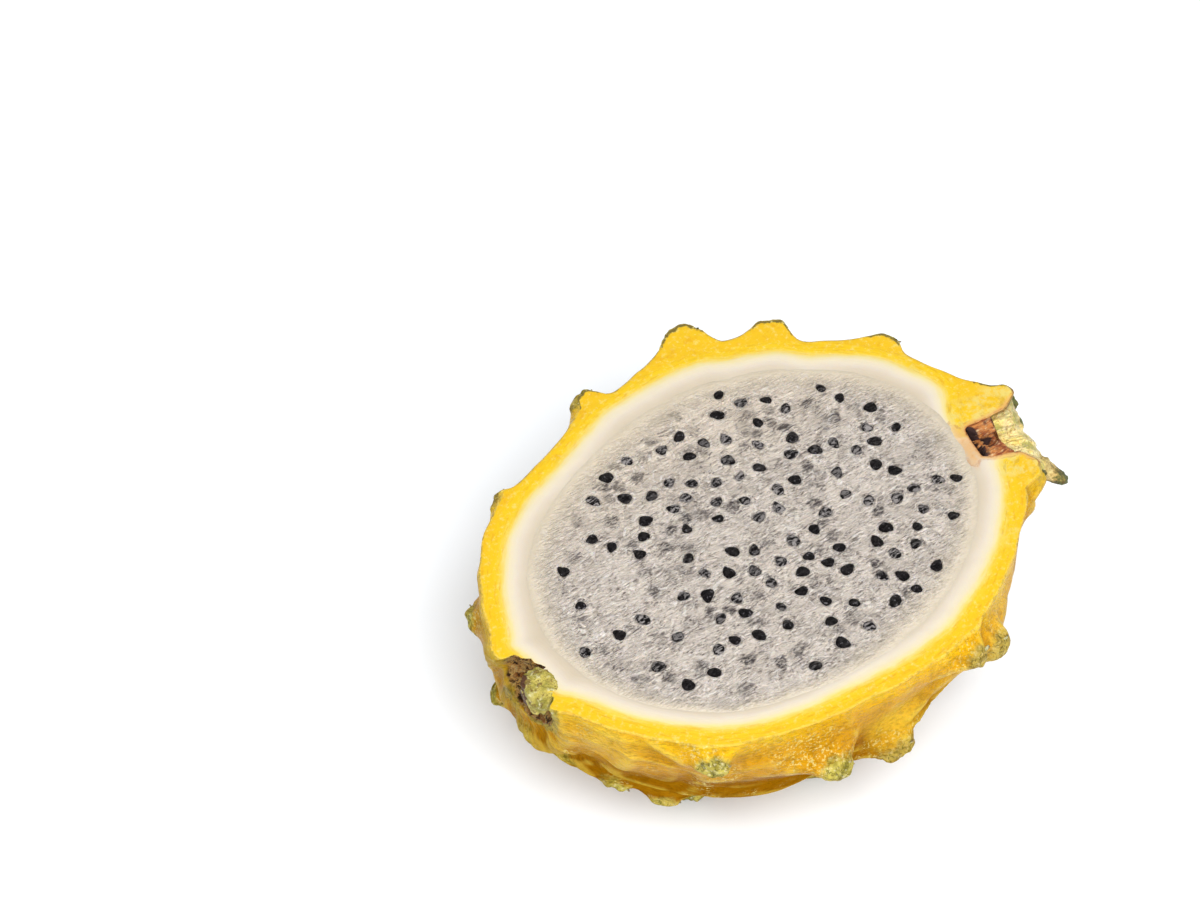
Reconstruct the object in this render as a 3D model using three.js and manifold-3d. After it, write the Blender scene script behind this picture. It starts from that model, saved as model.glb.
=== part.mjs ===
// Half of a yellow dragon fruit, cut lengthwise and lying on its rounded back with the cut face up.
//
// Millimetres. +Z is up and +X runs from the stem end to the blossom end. The origin is the middle of the
// flat spot that the half rests on, below the middle of the cut face. Four bodies nest in one another:
// the knobbly yellow skin, the white pith that lines it, the flesh with the seeds that stand out of its
// face, and the dry remnant of the flower in the hollow at the blossom end.
//
// A place on the back is given by two angles in degrees. "around" runs anticlockwise about +Z from the
// blossom end, and "below" runs from the edge of the cut face, at 0, to the middle of the back, at 90.

import * as THREE from 'three';
import { mergeVertices } from 'three/addons/utils/BufferGeometryUtils.js';
import Module from 'manifold-3d';

const wasm = await Module();
wasm.setup();

// ---------------------------------------------------------------- driving dimensions

const CUT_HEIGHT = 41;                 // cut face above the resting surface
const FULLNESS = 2.1;                  // exponent of the back's superellipse: 2 is an ellipse
const GAP = 0.3;                       // clearance between bodies that nest

// The three layers. "radii" are the distances from the middle of the cut face to the layer's outer edge,
// at equal angles from the blossom end. "depth" is how far the layer would reach below the cut face.
const LAYERS = {
  skin: {
    depth: 43.2,
    radii: [49.4, 47.6, 43.3, 40.6, 39.1, 38.7, 42.3, 47.6, 51.2, 48.8, 44.6, 40.6, 39.2, 40.3, 43.7, 47.9],
  },
  pith: {
    depth: 38.0,
    radii: [46.0, 44.4, 40.2, 37.4, 36.1, 35.7, 39.0, 44.0, 45.2, 45.8, 42.4, 38.0, 36.4, 37.2, 39.4, 42.6],
  },
  flesh: {
    depth: 33.7,
    radii: [41.3, 40.4, 36.6, 33.4, 32.0, 32.0, 34.8, 39.6, 42.2, 41.7, 38.8, 35.0, 33.4, 33.8, 35.8, 39.0],
  },
};

const BACK = { sides: 90, rows: 18, end: 76 };      // facets of the skin's outside, and where its rows end
const LINING = { sides: 48, rows: 9, end: 78 };    // facets of each inner surface

// Tubercles along the cut, and on the side below it: place, height above the skin, and share of the
// usual width.
const TUBERCLES = [
  { around: 69.5, below: 0, rise: 6.6, width: 1.15 },
  { around: 49, below: 0, rise: 4.8, width: 1.0 },
  { around: 25, below: 0, rise: 3.2, width: 0.9 },
  { around: 5, below: 0, rise: 1.6, width: 0.5 },
  { around: 99.5, below: 2, rise: 3.6, width: 0.9 },
  { around: 136, below: 3, rise: 2.4, width: 0.75 },
  { around: 162, below: 9, rise: 2.4, width: 0.85 },
  { around: 202, below: 30, rise: 1.8, width: 0.8 },
  { around: 212, below: 37, rise: 2.4, width: 0.85 },
  { around: 225, below: 5, rise: 2.4, width: 0.85 },
  { around: 252, below: 14, rise: 4.4, width: 0.95 },
  { around: 274.5, below: 27.5, rise: 4.2, width: 1.05 },
  { around: 293, below: 5, rise: 3.8, width: 0.8 },
  { around: 302, below: 10, rise: 4.4, width: 0.8 },
  { around: 338, below: 6.5, rise: 2.0, width: 0.8 },
  { around: 318, below: 32, rise: 4.0, width: 0.9 },
];
// Rows of tubercles on the rest of the back, each one a step further round.
const TUBERCLE_ROWS = [
  { below: 30, from: 12, to: 170, step: 26, rise: 4.6, width: 0.95 },
  { below: 52, from: 26, to: 360, step: 47, rise: 3.4, width: 0.85 },
];
// Outline of a tubercle at some heights, as shares of its rise, and its reach there in millimetres:
// ahead is towards the blossom end, where the flank is steep, and behind towards the stem.
const TUBERCLE_OUTLINE = [
  { height: -0.5, ahead: 4.6, behind: 8.2, aside: 5.4 },
  { height: 0.14, ahead: 3.6, behind: 5.6, aside: 4.0 },
  { height: 0.5, ahead: 3.1, behind: 3.9, aside: 3.2 },
  { height: 0.86, ahead: 2.5, behind: 2.6, aside: 2.5 },
  { height: 1.0, ahead: 1.4, behind: 1.3, aside: 1.4 },
];
const TUBERCLE_SIDES = 9;
const FOOT = { share: 0.25, ahead: 5, behind: 12, aside: 7, deep: 9 };   // swelling round a tubercle
const SCALE = { length: 2.2, width: 2.9, thickness: 0.9, tilt: 0.3 };   // bract at the tip of a tubercle

// Stem's scar: a pit in the cut's edge with a lump in it and a low collar round it.
const SCAR = {
  pit: { at: [-52.2, -4.8, 38.5], reach: [5.6, 7.2, 7.6] },
  lump: { at: [-48.4, -6.4, 38.6], reach: [2.6, 3.0, 3.6] },
  collar: { around: 184, below: 8, radius: 9.5, width: 2.4, rise: 1.3 },
};

// Blossom end: a hollow whose axis lies in the cut face, and the collar of scales round its mouth.
// Angles about the axis start in the cut face, on its +Y side, and pass below it.
const HOLLOW = {
  x: 42.5, y: -6.1, turn: -12, sides: 20,
  profile: [[0, 3.7], [5, 4.4]],       // along the axis and radius, up to the mouth
  mouthShare: 0.8, mouthRadius: 4.6,   // the wall flares from here, as a share of the way to the lip
  // Angle about the axis, and how far along it the lip lies there.
  lip: [[0, 11.2], [20, 12.6], [50, 12.9], [85, 14.0], [125, 13.4], [150, 10.8], [180, 8.6]],
  lipRadius: 8.4, lipThickness: 1.0,
};
const COLLAR = [[0.5, 13], [5.5, 12.3], [7.8, 10.2]];   // outside of the collar: along the axis and radius
const CROWN_SCALES = [
  { angle: 22, flare: 0.3, length: 1.2, width: 3.4 },
  { angle: 62, flare: 0.3, length: 1.2, width: 3.0 },
  { angle: 98, flare: 0.3, length: 1.0, width: 3.4 },
  { angle: 136, flare: 1.5, length: 4.0, width: 5.2 },
  { angle: 163, flare: 0.8, length: 1.4, width: 2.6 },
];
const REMNANT = { from: 0.8, to: 6.2, wall: 1.5, roughness: 0.4, sides: 12, rings: 7 };

// Seeds that the cut has laid bare.
const SEEDS = {
  count: 112, spacing: 3.3, margin: 2.6,
  length: 2.6, width: 1.8, stand: 0.55, sunk: 0.6, sides: 6,
};
const DRAW = 20;                       // start of the random draws

// ---------------------------------------------------------------- small helpers

const rad = THREE.MathUtils.degToRad;
const vec = (x, y, z) => new THREE.Vector3(x, y, z);
const smooth = (t) => THREE.MathUtils.smoothstep(t, 0, 1);

// Random numbers from 0 to 1 that are the same each run.
function drawFrom(start) {
  let state = start;
  return () => {
    state = (state + 0x6d2b79f5) | 0;
    let t = Math.imul(state ^ (state >>> 15), 1 | state);
    t = (t + Math.imul(t ^ (t >>> 7), 61 | t)) ^ t;
    return ((t ^ (t >>> 14)) >>> 0) / 4294967296;
  };
}

// A ring of points: pointAt(angle) at equal angles from 0 to a full turn.
const ringOf = (sides, pointAt) =>
  Array.from({ length: sides }, (_, s) => pointAt((2 * Math.PI * s) / sides));

// A closed solid through rings of points, with a fan of triangles to a middle point at each end.
// Each ring runs anticlockwise as seen looking from the last ring's end back to the first.
function loft(rings, firstMiddle, lastMiddle) {
  const sides = rings[0].length;
  const points = [...rings.flat(), firstMiddle, lastMiddle];
  const first = points.length - 2;
  const last = points.length - 1;
  const lastRing = (rings.length - 1) * sides;
  const index = [];
  for (let s = 0; s < sides; s++) {
    const next = (s + 1) % sides;
    index.push(first, next, s);
    index.push(last, lastRing + s, lastRing + next);
    for (let r = 0; r + 1 < rings.length; r++) {
      const a = r * sides;
      const b = a + sides;
      index.push(a + s, a + next, b + s, a + next, b + next, b + s);
    }
  }
  const geometry = new THREE.BufferGeometry().setFromPoints(points);
  geometry.setIndex(index);
  return solidOf(geometry);
}

// A geometry as a manifold solid.
function solidOf(geometry) {
  const bare = new THREE.BufferGeometry();
  bare.setAttribute('position', geometry.attributes.position);
  bare.setIndex(geometry.index);
  const welded = mergeVertices(bare, 1e-5);
  const solid = new wasm.Manifold(new wasm.Mesh({
    numProp: 3,
    vertProperties: welded.attributes.position.array,
    triVerts: new Uint32Array(welded.index.array),
  }));
  if (solid.volume() <= 0) throw new Error('a solid is inside out');
  return solid;
}

// A manifold solid as a geometry.
function geometryOf(solid) {
  const mesh = solid.getMesh();
  const geometry = new THREE.BufferGeometry();
  geometry.setAttribute('position', new THREE.BufferAttribute(mesh.vertProperties, 3));
  geometry.setIndex(new THREE.BufferAttribute(mesh.triVerts, 1));
  return geometry;
}

// A block wider than the fruit, between two heights.
const slab = (low, high) =>
  solidOf(new THREE.BoxGeometry(200, 200, high - low).translate(0, 0, (low + high) / 2));

const egg = ({ at, reach }, detail) =>
  solidOf(new THREE.IcosahedronGeometry(1, detail).scale(...reach).translate(...at));

const joined = (solids) => solids.reduce((whole, solid) => whole.add(solid));

// ---------------------------------------------------------------- the fruit's form

// Edge of a layer on the cut face: a closed Catmull-Rom curve through its radii.
function edgeRadius(radii, around) {
  const n = radii.length;
  const x = (((around / (2 * Math.PI)) % 1) + 1) % 1 * n;
  const i = Math.floor(x);
  const t = x - i;
  const [a, b, c, d] = [-1, 0, 1, 2].map((k) => radii[(i + k + n) % n]);
  return 0.5 * (2 * b + (c - a) * t + (2 * a - 5 * b + 4 * c - d) * t * t + (3 * b - a - 3 * c + d) * t ** 3);
}

// A point on a layer's smooth outer surface, moved in by an inset.
function layerPoint(layer, around, below, inset = 0) {
  const radius = (edgeRadius(layer.radii, around) - inset) * Math.max(0, Math.cos(below)) ** (2 / FULLNESS);
  const z = CUT_HEIGHT - (layer.depth - inset) * Math.max(0, Math.sin(below)) ** (2 / FULLNESS);
  return vec(radius * Math.cos(around), radius * Math.sin(around), z);
}

function skinNormal(around, below) {
  const step = 1e-3;
  const low = Math.max(below, 2 * step);
  const point = (a, b) => layerPoint(LAYERS.skin, a, b);
  const along = point(around + step, low).sub(point(around - step, low));
  const down = point(around, low + step).sub(point(around, low - step));
  return down.cross(along).normalize();
}

// Slow swells that keep the skin from being a plain dome, fading out towards the middle of the back.
function swell(around, below) {
  const waves = 0.3 * Math.sin(3 * around + 2 * below + 1.1) + 0.25 * Math.sin(5 * around - 3 * below + 0.4)
    + 0.2 * Math.sin(8 * around + 4 * below);
  return waves * Math.cos(below);
}

// Each tubercle with its own axes: out of the skin, ahead to the blossom end along the skin, and aside.
const allTubercles = () => [...TUBERCLES, ...TUBERCLE_ROWS.flatMap((row) => {
  const count = Math.ceil((row.to - row.from) / row.step);
  return Array.from({ length: count }, (_, i) => ({ ...row, around: row.from + i * row.step }));
})].map(({ around, below, rise, width }) => {
  const at = layerPoint(LAYERS.skin, rad(around), rad(below));
  const out = skinNormal(rad(around), rad(below));
  const ahead = vec(1, 0, 0).addScaledVector(out, -out.x).normalize();
  return { at, out, ahead, aside: out.clone().cross(ahead), rise, width };
});

const tubercles = allTubercles();

// How much the skin swells towards a tubercle.
function footHeight({ at, out, ahead, aside, rise, width }, point) {
  const offset = point.clone().sub(at);
  const u = offset.dot(ahead) / width;
  const v = offset.dot(aside) / width;
  const w = offset.dot(out);
  const reach = u > 0 ? FOOT.ahead : FOOT.behind;
  return FOOT.share * rise * Math.exp(-((u / reach) ** 2) - (v / FOOT.aside) ** 2 - (w / FOOT.deep) ** 2);
}

const scarCentre = layerPoint(LAYERS.skin, rad(SCAR.collar.around), rad(SCAR.collar.below));
function scarCollar(point) {
  const away = (point.distanceTo(scarCentre) - SCAR.collar.radius) / SCAR.collar.width;
  return SCAR.collar.rise * Math.exp(-away * away);
}

// The skin's outside without its tubercles. The displacement has no upward part at the cut face.
function skinPoint(around, below) {
  const point = layerPoint(LAYERS.skin, around, below);
  const feet = tubercles.reduce((sum, tubercle) => Math.max(sum, footHeight(tubercle, point)), 0);
  const raised = skinNormal(around, below).multiplyScalar(swell(around, below) + feet + scarCollar(point));
  raised.z *= smooth(below / rad(6));
  return point.add(raised);
}

// A closed solid from the cut face down to the middle of the back, through pointAt(around, below).
// The first row may be raised above the cut face, for solids that only cut.
function bowl(pointAt, { sides, rows, end }, lift = 0) {
  const rings = Array.from({ length: rows + 1 }, (_, row) =>
    ringOf(sides, (around) => pointAt(around, rad((end * row) / rows))));
  if (lift > 0) rings.unshift(rings[0].map((p) => vec(p.x, p.y, p.z + lift)));
  return loft(rings.reverse(), pointAt(0, Math.PI / 2), vec(0, 0, CUT_HEIGHT + lift));
}

const CLEAR = 5;                       // how far cutting solids pass the cut face
const layerSolid = (name, inset = 0, lift = 0) =>
  bowl((around, below) => layerPoint(LAYERS[name], around, below, inset), LINING, lift);

// ---------------------------------------------------------------- tubercles and scales

// A pointed scale: root is the middle of its base, and its tip lies a length further, curling outwards.
function scaleSolid({ root, forward, outward, length, width, thickness }) {
  const across = outward.clone().cross(forward);
  const section = (along, half, thick, curl) => ringOf(4, (angle) => root.clone()
    .addScaledVector(forward, along)
    .addScaledVector(outward, curl + (thick / 2) * Math.sin(angle))
    .addScaledVector(across, half * Math.cos(angle)));
  const rings = [
    section(-0.35 * length, width / 2, thickness, 0),
    section(0.45 * length, 0.38 * width, 0.8 * thickness, 0.06 * length),
  ];
  const end = (along, curl) => root.clone().addScaledVector(forward, along).addScaledVector(outward, curl);
  return loft(rings, end(-0.35 * length, 0), end(length, 0.22 * length));
}

function tubercleSolid({ at, out, ahead, aside, rise, width }) {
  const spot = (u, v, height) =>
    at.clone().addScaledVector(ahead, u).addScaledVector(aside, v).addScaledVector(out, height);
  const rings = TUBERCLE_OUTLINE.map((row) => ringOf(TUBERCLE_SIDES, (angle) => {
    const reach = Math.cos(angle) > 0 ? row.ahead : row.behind;
    return spot(width * reach * Math.cos(angle), width * row.aside * Math.sin(angle), row.height * rise);
  }));
  const body = loft(rings, spot(0, 0, TUBERCLE_OUTLINE[0].height * rise), spot(0, 0, 1.03 * rise));
  return body.add(scaleSolid({
    root: spot(1.5 * width, 0, 0.86 * rise),
    forward: ahead.clone().addScaledVector(out, SCALE.tilt).normalize(),
    outward: out.clone().addScaledVector(ahead, -SCALE.tilt).normalize(),
    length: SCALE.length * width, width: SCALE.width * width, thickness: SCALE.thickness,
  }));
}

// ---------------------------------------------------------------- blossom end

const axis = vec(Math.cos(rad(HOLLOW.turn)), Math.sin(rad(HOLLOW.turn)), 0);
const radial = (angle) => vec(-axis.y * Math.cos(angle), axis.x * Math.cos(angle), -Math.sin(angle));

const aboutAxis = (along, radius, angle) =>
  vec(HOLLOW.x, HOLLOW.y, CUT_HEIGHT).addScaledVector(axis, along).addScaledVector(radial(angle), radius);

const ringAbout = (sides, placeAt) => ringOf(sides, (turn) => {
  const [along, radius] = placeAt(turn);
  return aboutAxis(along, radius, -turn);
});

// How far along the axis the lip lies at an angle in radians, the same on both sides of the cut face.
function lipAlong(angle) {
  const turn = THREE.MathUtils.radToDeg(Math.abs(Math.atan2(Math.sin(angle), Math.cos(angle))));
  const after = Math.max(1, HOLLOW.lip.findIndex(([degrees]) => degrees >= turn));
  const [[a0, l0], [a1, l1]] = HOLLOW.lip.slice(after - 1, after + 1);
  return THREE.MathUtils.mapLinear(turn, a0, a1, l0, l1);
}

function hollowSolid() {
  const { sides, profile, mouthShare, mouthRadius, lipRadius, lipThickness } = HOLLOW;
  const inLip = lipRadius - lipThickness;
  const rings = [
    ...profile.map((place) => ringAbout(sides, () => place)),
    ringAbout(sides, (angle) => [mouthShare * lipAlong(angle), mouthRadius]),
    ringAbout(sides, (angle) => [lipAlong(angle), inLip]),
    ringAbout(sides, (angle) => [lipAlong(angle) + CLEAR, 2 * inLip - mouthRadius]),
  ];
  return loft(rings, aboutAxis(0, 0, 0), aboutAxis(lipAlong(0) + 2 * CLEAR, 0, 0));
}

// The collar round the mouth of the hollow, with the scales on its lip.
function crownSolid() {
  const rings = [
    ...COLLAR.map((place) => ringAbout(30, () => place)),
    ringAbout(30, (angle) => [lipAlong(angle) - 1, HOLLOW.lipRadius + 0.5]),
    ringAbout(30, (angle) => [lipAlong(angle), HOLLOW.lipRadius]),
  ];
  const collar = loft(rings, aboutAxis(COLLAR[0][0], 0, 0), aboutAxis(lipAlong(Math.PI), 0, 0));
  const scales = CROWN_SCALES.map(({ angle, flare, length, width }) => {
    const outward = radial(rad(angle));
    const forward = axis.clone().addScaledVector(outward, flare).normalize();
    return scaleSolid({
      root: aboutAxis(lipAlong(rad(angle)) - 0.9, HOLLOW.lipRadius - 0.5, rad(angle)),
      forward,
      outward: outward.clone().addScaledVector(forward, -outward.dot(forward)).normalize(),
      length, width, thickness: 1.3,
    });
  });
  return joined([collar, ...scales]);
}

// The dry remnant: a rough half tube that lines the bottom of the hollow, below the cut face.
function remnantSolid() {
  const { from, to, wall, roughness, sides, rings: count } = REMNANT;
  const [[a0, r0], [a1, r1]] = HOLLOW.profile;
  const draw = drawFrom(DRAW + 1);
  const rings = Array.from({ length: count + 1 }, (_, i) => {
    const along = from + ((to - from) * i) / count;
    const outer = THREE.MathUtils.mapLinear(Math.min(along, a1), a0, a1, r0, r1) - GAP - 0.1;
    const inner = i === 0 ? 0.6 : outer - wall;
    const arc = Array.from({ length: sides + 1 }, (_, s) => 0.08 + ((Math.PI - 0.16) * s) / sides);
    const outside = arc.map((angle) => aboutAxis(along, outer - roughness * draw(), angle));
    const inside = arc.map((angle) => aboutAxis(along, inner + roughness * (draw() - 0.5), angle));
    return [...inside, ...outside.reverse()];
  });
  const middle = (ring) => ring.reduce((sum, p) => sum.add(p), vec(0, 0, 0)).divideScalar(ring.length);
  return loft(rings, middle(rings[0]), middle(rings[count]));
}

// ---------------------------------------------------------------- seeds

// Places for the seeds: random throws over the cut flesh, kept where no other seed is near. The chance
// of keeping one falls off towards the pith.
function seedPlaces(draw) {
  const places = [];
  while (places.length < SEEDS.count) {
    const around = 2 * Math.PI * draw();
    const share = Math.sqrt(draw());
    const chance = draw();
    const edge = edgeRadius(LAYERS.flesh.radii, around) - SEEDS.margin;
    const x = edge * share * Math.cos(around);
    const y = edge * share * Math.sin(around);
    const apart = places.every((p) => Math.hypot(p.x - x, p.y - y) > SEEDS.spacing);
    if (apart && chance > share ** 8) {
      places.push({ x, y, turn: 2 * Math.PI * draw(), size: 0.85 + 0.3 * draw() });
    }
  }
  return places;
}

// One seed: a low dome on a teardrop outline, sunk into the flesh.
function seedSolid({ x, y, turn, size }) {
  const ring = (z, share) => ringOf(SEEDS.sides, (angle) => {
    const a = (SEEDS.length / 2) * size * share * Math.cos(angle);
    const b = (SEEDS.width / 2) * size * share * Math.sin(angle) * (1 - 0.28 * Math.cos(angle));
    return vec(x + a * Math.cos(turn) - b * Math.sin(turn), y + a * Math.sin(turn) + b * Math.cos(turn), z);
  });
  const rings = [ring(CUT_HEIGHT - SEEDS.sunk, 0.8), ring(CUT_HEIGHT + SEEDS.stand / 2, 1)];
  return loft(rings, vec(x, y, CUT_HEIGHT - SEEDS.sunk), vec(x, y, CUT_HEIGHT + SEEDS.stand));
}

// ---------------------------------------------------------------- the four bodies

function skinSolid() {
  const back = bowl(skinPoint, BACK);
  return joined([back, ...tubercles.map(tubercleSolid), crownSolid()])
    .subtract(egg(SCAR.pit, 2)).add(egg(SCAR.lump, 1))
    .intersect(slab(0, CUT_HEIGHT))
    .subtract(layerSolid('pith', 0, CLEAR)).subtract(hollowSolid());
}

function pithSolid() {
  return layerSolid('pith', GAP).subtract(layerSolid('flesh', 0, CLEAR)).subtract(hollowSolid());
}

function fleshSolid() {
  return joined([layerSolid('flesh', GAP), ...seedPlaces(drawFrom(DRAW)).map(seedSolid)]);
}

const BODIES = [
  { name: 'skin', make: skinSolid, color: 0xf2b91c, roughness: 0.45 },
  { name: 'pith', make: pithSolid, color: 0xf8f0da, roughness: 0.5 },
  { name: 'flesh', make: fleshSolid, color: 0xc9c6bf, roughness: 0.25 },
  { name: 'flower_remnant', make: remnantSolid, color: 0x8a4f2e, roughness: 0.85 },
];

const fruit = new THREE.Group();
fruit.name = 'dragon_fruit_half';
for (const { name, make, color, roughness } of BODIES) {
  const material = new THREE.MeshStandardMaterial({ color, roughness, metalness: 0 });
  const mesh = new THREE.Mesh(geometryOf(make()), material);
  mesh.name = name;
  fruit.add(mesh);
}

export default fruit;
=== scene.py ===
"""The looks of half a yellow dragon fruit, cut lengthwise and lying on its rounded back, cut face up.

Lengths in this file are millimetres until a mesh is made. +Z is up, +X runs from the stem end to the
blossom end, and the origin is on the floor below the middle of the cut face. A place on the back is given
by "around", anticlockwise about +Z from the blossom end, and "below", from the edge of the cut face at 0
to the middle of the back at a right angle.
"""

import math

import bpy
import numpy as np
from mathutils import Matrix, Vector


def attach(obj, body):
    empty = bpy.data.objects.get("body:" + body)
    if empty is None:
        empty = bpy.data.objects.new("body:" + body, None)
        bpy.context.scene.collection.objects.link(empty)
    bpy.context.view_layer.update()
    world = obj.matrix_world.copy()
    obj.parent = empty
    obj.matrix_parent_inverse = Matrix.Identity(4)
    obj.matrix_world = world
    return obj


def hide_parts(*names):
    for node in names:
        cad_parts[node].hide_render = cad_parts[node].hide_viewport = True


# ---------------------------------------------------------------- the fruit's measures

MM = 0.001
CUT_HEIGHT = 41.0
FULLNESS = 2.1                         # exponent of the back's superellipse

# Radius of each layer's edge on the cut face at equal angles from the blossom end, and its depth.
SKIN_RADII = [49.4, 47.6, 43.3, 40.6, 39.1, 38.7, 42.3, 47.6, 51.2, 48.8, 44.6, 40.6, 39.2, 40.3, 43.7, 47.9]
FLESH_RADII = [41.3, 40.4, 36.6, 33.4, 32.0, 32.0, 34.8, 39.6, 42.2, 41.7, 38.8, 35.0, 33.4, 33.8, 35.8, 39.0]
SKIN_DEPTH = 43.2
FLESH_DEPTH = 33.7

# Tubercles: around and below in degrees, height, and share of the usual width.
TUBERCLES = [
    (69.5, 0, 6.6, 1.15), (49, 0, 4.8, 1.0), (25, 0, 3.2, 0.9), (5, 0, 1.6, 0.5), (99.5, 2, 3.6, 0.9),
    (136, 3, 2.4, 0.75), (162, 9, 2.4, 0.85), (202, 30, 1.8, 0.8), (212, 37, 2.4, 0.85), (225, 5, 2.4, 0.85),
    (252, 14, 4.4, 0.95), (274.5, 27.5, 4.2, 1.05), (293, 5, 3.8, 0.8), (302, 10, 4.4, 0.8),
    (338, 6.5, 2.0, 0.8), (318, 32, 4.0, 0.9),
]
LOW_RISE = 2.0                         # height of the one below the crown, which has hardly any green
# Rows of them on the rest of the back: below, from, to, step, height, width.
TUBERCLE_ROWS = [(30, 12, 170, 26, 4.6, 0.95), (52, 26, 360, 47, 3.4, 0.85)]
HALF_WAY = {"ahead": 3.1, "behind": 3.9, "aside": 3.2}     # reach of a tubercle at half its height
FOOT = {"share": 0.25, "ahead": 5.0, "behind": 12.0, "aside": 7.0}

# Ridges of the skin, and creases where the height is below 0: height, half width, places in degrees.
FOLD_LINES = [
    (-0.9, 0.8, [(186, 24), (193, 20), (201, 17.5)]), (-0.7, 1.0, [(187.5, 8), (189, 14), (189, 25)]),
    (1.0, 2.2, [(197, 7), (205, 3), (209, 6), (206, 15), (201, 27)]),
    (0.7, 1.2, [(212, 1), (217, 4), (221, 8)]), (-0.7, 1.4, [(217, 9), (220, 14), (216, 27)]),
    (-0.5, 1.0, [(228, 12), (236, 16), (246, 17)]),
    (0.7, 1.6, [(256, 2), (258, 12), (256, 20)]), (-0.8, 1.4, [(260, 24), (268, 23), (277, 21), (287, 19)]),
    (0.9, 1.6, [(268, 24), (280, 17), (296, 11)]), (-0.7, 1.2, [(304, 22), (312, 18), (322, 17)]),
    (2.0, 2.8, [(295, 13), (302, 13), (309, 11.5), (314, 9)]), (-1.5, 4.0, [(318, 3), (327, 4), (336, 5)]),
    (1.5, 4.5, [(222, 28), (236, 31), (250, 32)]), (1.5, 4.0, [(182, 18), (190, 24), (199, 28)]),
    (1.2, 4.5, [(282, 25), (292, 20), (301, 15)]), (0.6, 3.5, [(330, 4), (338, 5), (346, 7)]),
    (1.8, 3.0, [(272, 25), (278, 22), (286, 20)]), (-0.6, 1.3, [(332, 20), (342, 24), (350, 26)]),
    (0.7, 1.5, [(60, 18), (72, 14), (84, 13)]), (-0.7, 1.2, [(96, 20), (108, 17), (120, 16)]),
    (0.7, 1.5, [(128, 22), (140, 15), (152, 12)]), (-0.6, 1.2, [(150, 32), (162, 28), (172, 24)]),
    (-0.7, 1.3, [(20, 22), (32, 17), (46, 16)]), (0.6, 1.4, [(70, 44), (84, 40), (100, 42)]),
    (-0.6, 1.3, [(230, 42), (246, 38), (262, 42)]), (0.6, 1.4, [(290, 42), (304, 40), (320, 46)]),
]

SCAR_MIDDLE = (187, 8)                 # around and below, in degrees
SCAR_COLLAR = {"around": 184, "below": 8, "radius": 9.5, "width": 2.4, "rise": 1.3}
SCAR_PIT = {"at": (-52.2, -4.8, 38.5), "reach": (5.6, 7.2, 7.6)}
SCAR_LUMP = {"at": (-48.4, -6.4, 38.6), "reach": (2.6, 3.0, 3.6)}
SCAR_CORK = {"at": (-48.3, -5.9, 38.8), "reach": (2.9, 3.3, 4.3)}
# Ways to the cork's brown crust, which is partly painted shade in the crevice round the lump.
CRUST_AND_SHADE_SIDES = np.array([[0.57, 0.82, 0], [-0.75, 0.65, 0]])   # ways out from the cork's middle

# Olive tissue on the skin, beside the scar and at large tubercles: places in degrees and reach.
OLIVE_PATCHES = [(303, 15, 3.6), (310, 11, 2.6), (278, 27, 3.0), (184, 20, 4.6), (180, 12, 3.5),
                 (192, 23, 3.5), (193, 8, 2.0), (202, 26, 2.6), (14, 6, 3.0), (96, 40, 2.6), (330, 30, 2.4)]

# Painted light: paler yellow on the sides of the large tubercles; painted shade: darker yellow between them,
# in the same form.
LIT_PATCHES = [(272, 17, 6.0), (293, 16, 4.5), (307, 6, 4.5), (203, 6, 5.5)]
SHADED_PATCHES = [(254, 21, 6.0), (236, 22, 6.0)]

# The hollow at the blossom end: its axis lies in the cut face. Angles about it start on its +Y side.
HOLLOW_MOUTH = np.array([42.5, -6.1, CUT_HEIGHT])
HOLLOW_TURN = math.radians(-12)
AXIS = np.array([math.cos(HOLLOW_TURN), math.sin(HOLLOW_TURN), 0.0])
ACROSS = np.array([-AXIS[1], AXIS[0], 0.0])
LIP = [(0, 11.2), (20, 12.6), (50, 12.9), (85, 14.0), (125, 13.4), (150, 10.8), (180, 8.6)]
# The collar and hollow, from the hollow's floor out: step, radius, length along the axis, share of the lip's.
CROWN_PROFILE = [
    (0, 0.0, 0.0, 0), (7, 3.2, 0.1, 0), (9, 3.7, 0.7, 0), (16, 4.4, 5.0, 0), (23, 4.8, 0.0, 0.8),
    (28, 7.3, -0.1, 1), (30, 8.2, 0.0, 1), (31, 8.6, -0.5, 1), (36, 10.3, 7.8, 0), (40, 12.3, 5.5, 0),
    (44, 14.5, 2.6, 0), (60, 22.0, -4.0, 0),
]
CROWN_STEPS = 44
HOLLOW_STEP = 14.5                     # the hollow's floor and wall reach up to here
LIP_STEP = 29.5                        # the lip's middle
LIP_END = 33.5
OPEN_STEP = 34                         # from here out, the skin has folds and whole tubercles
COLLAR_STEP = 35                       # from here out, the collar passes into the skin's bowl

# Seeds: the same throws over the cut flesh as its solid has.
SEEDS = {"count": 112, "spacing": 3.3, "margin": 2.6, "length": 2.5, "width": 1.95, "stand": 0.5}
SEED_TOP = CUT_HEIGHT + 0.55
SUNKEN_SEEDS = {"count": 84, "spacing": 1.9, "margin": 3.5, "length": 2.7, "width": 1.9}
DRAW = 20

# ---------------------------------------------------------------- helpers on arrays


def smooth(t):
    """Smoothstep: 0 below 0, 1 above 1, and 3t^2 - 2t^3 between."""
    t = np.clip(t, 0.0, 1.0)
    return t * t * (3.0 - 2.0 * t)


def mix(a, b, t):
    return a + (b - a) * t


def bell(x):
    """Gaussian: 1 at 0, and exp(-x^2) away from it."""
    return np.exp(-x ** 2)


def full_turn(count):
    """Equal angles round a circle."""
    return np.linspace(0, 2 * np.pi, count, endpoint=False)


def on_circle(angle, radius):
    """The two coordinates of a point on a circle."""
    return radius * np.cos(angle), radius * np.sin(angle)


def turned(x, y, turn):
    """Coordinates along and across a direction that is turned by an angle."""
    return x * math.cos(turn) + y * math.sin(turn), y * math.cos(turn) - x * math.sin(turn)


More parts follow.
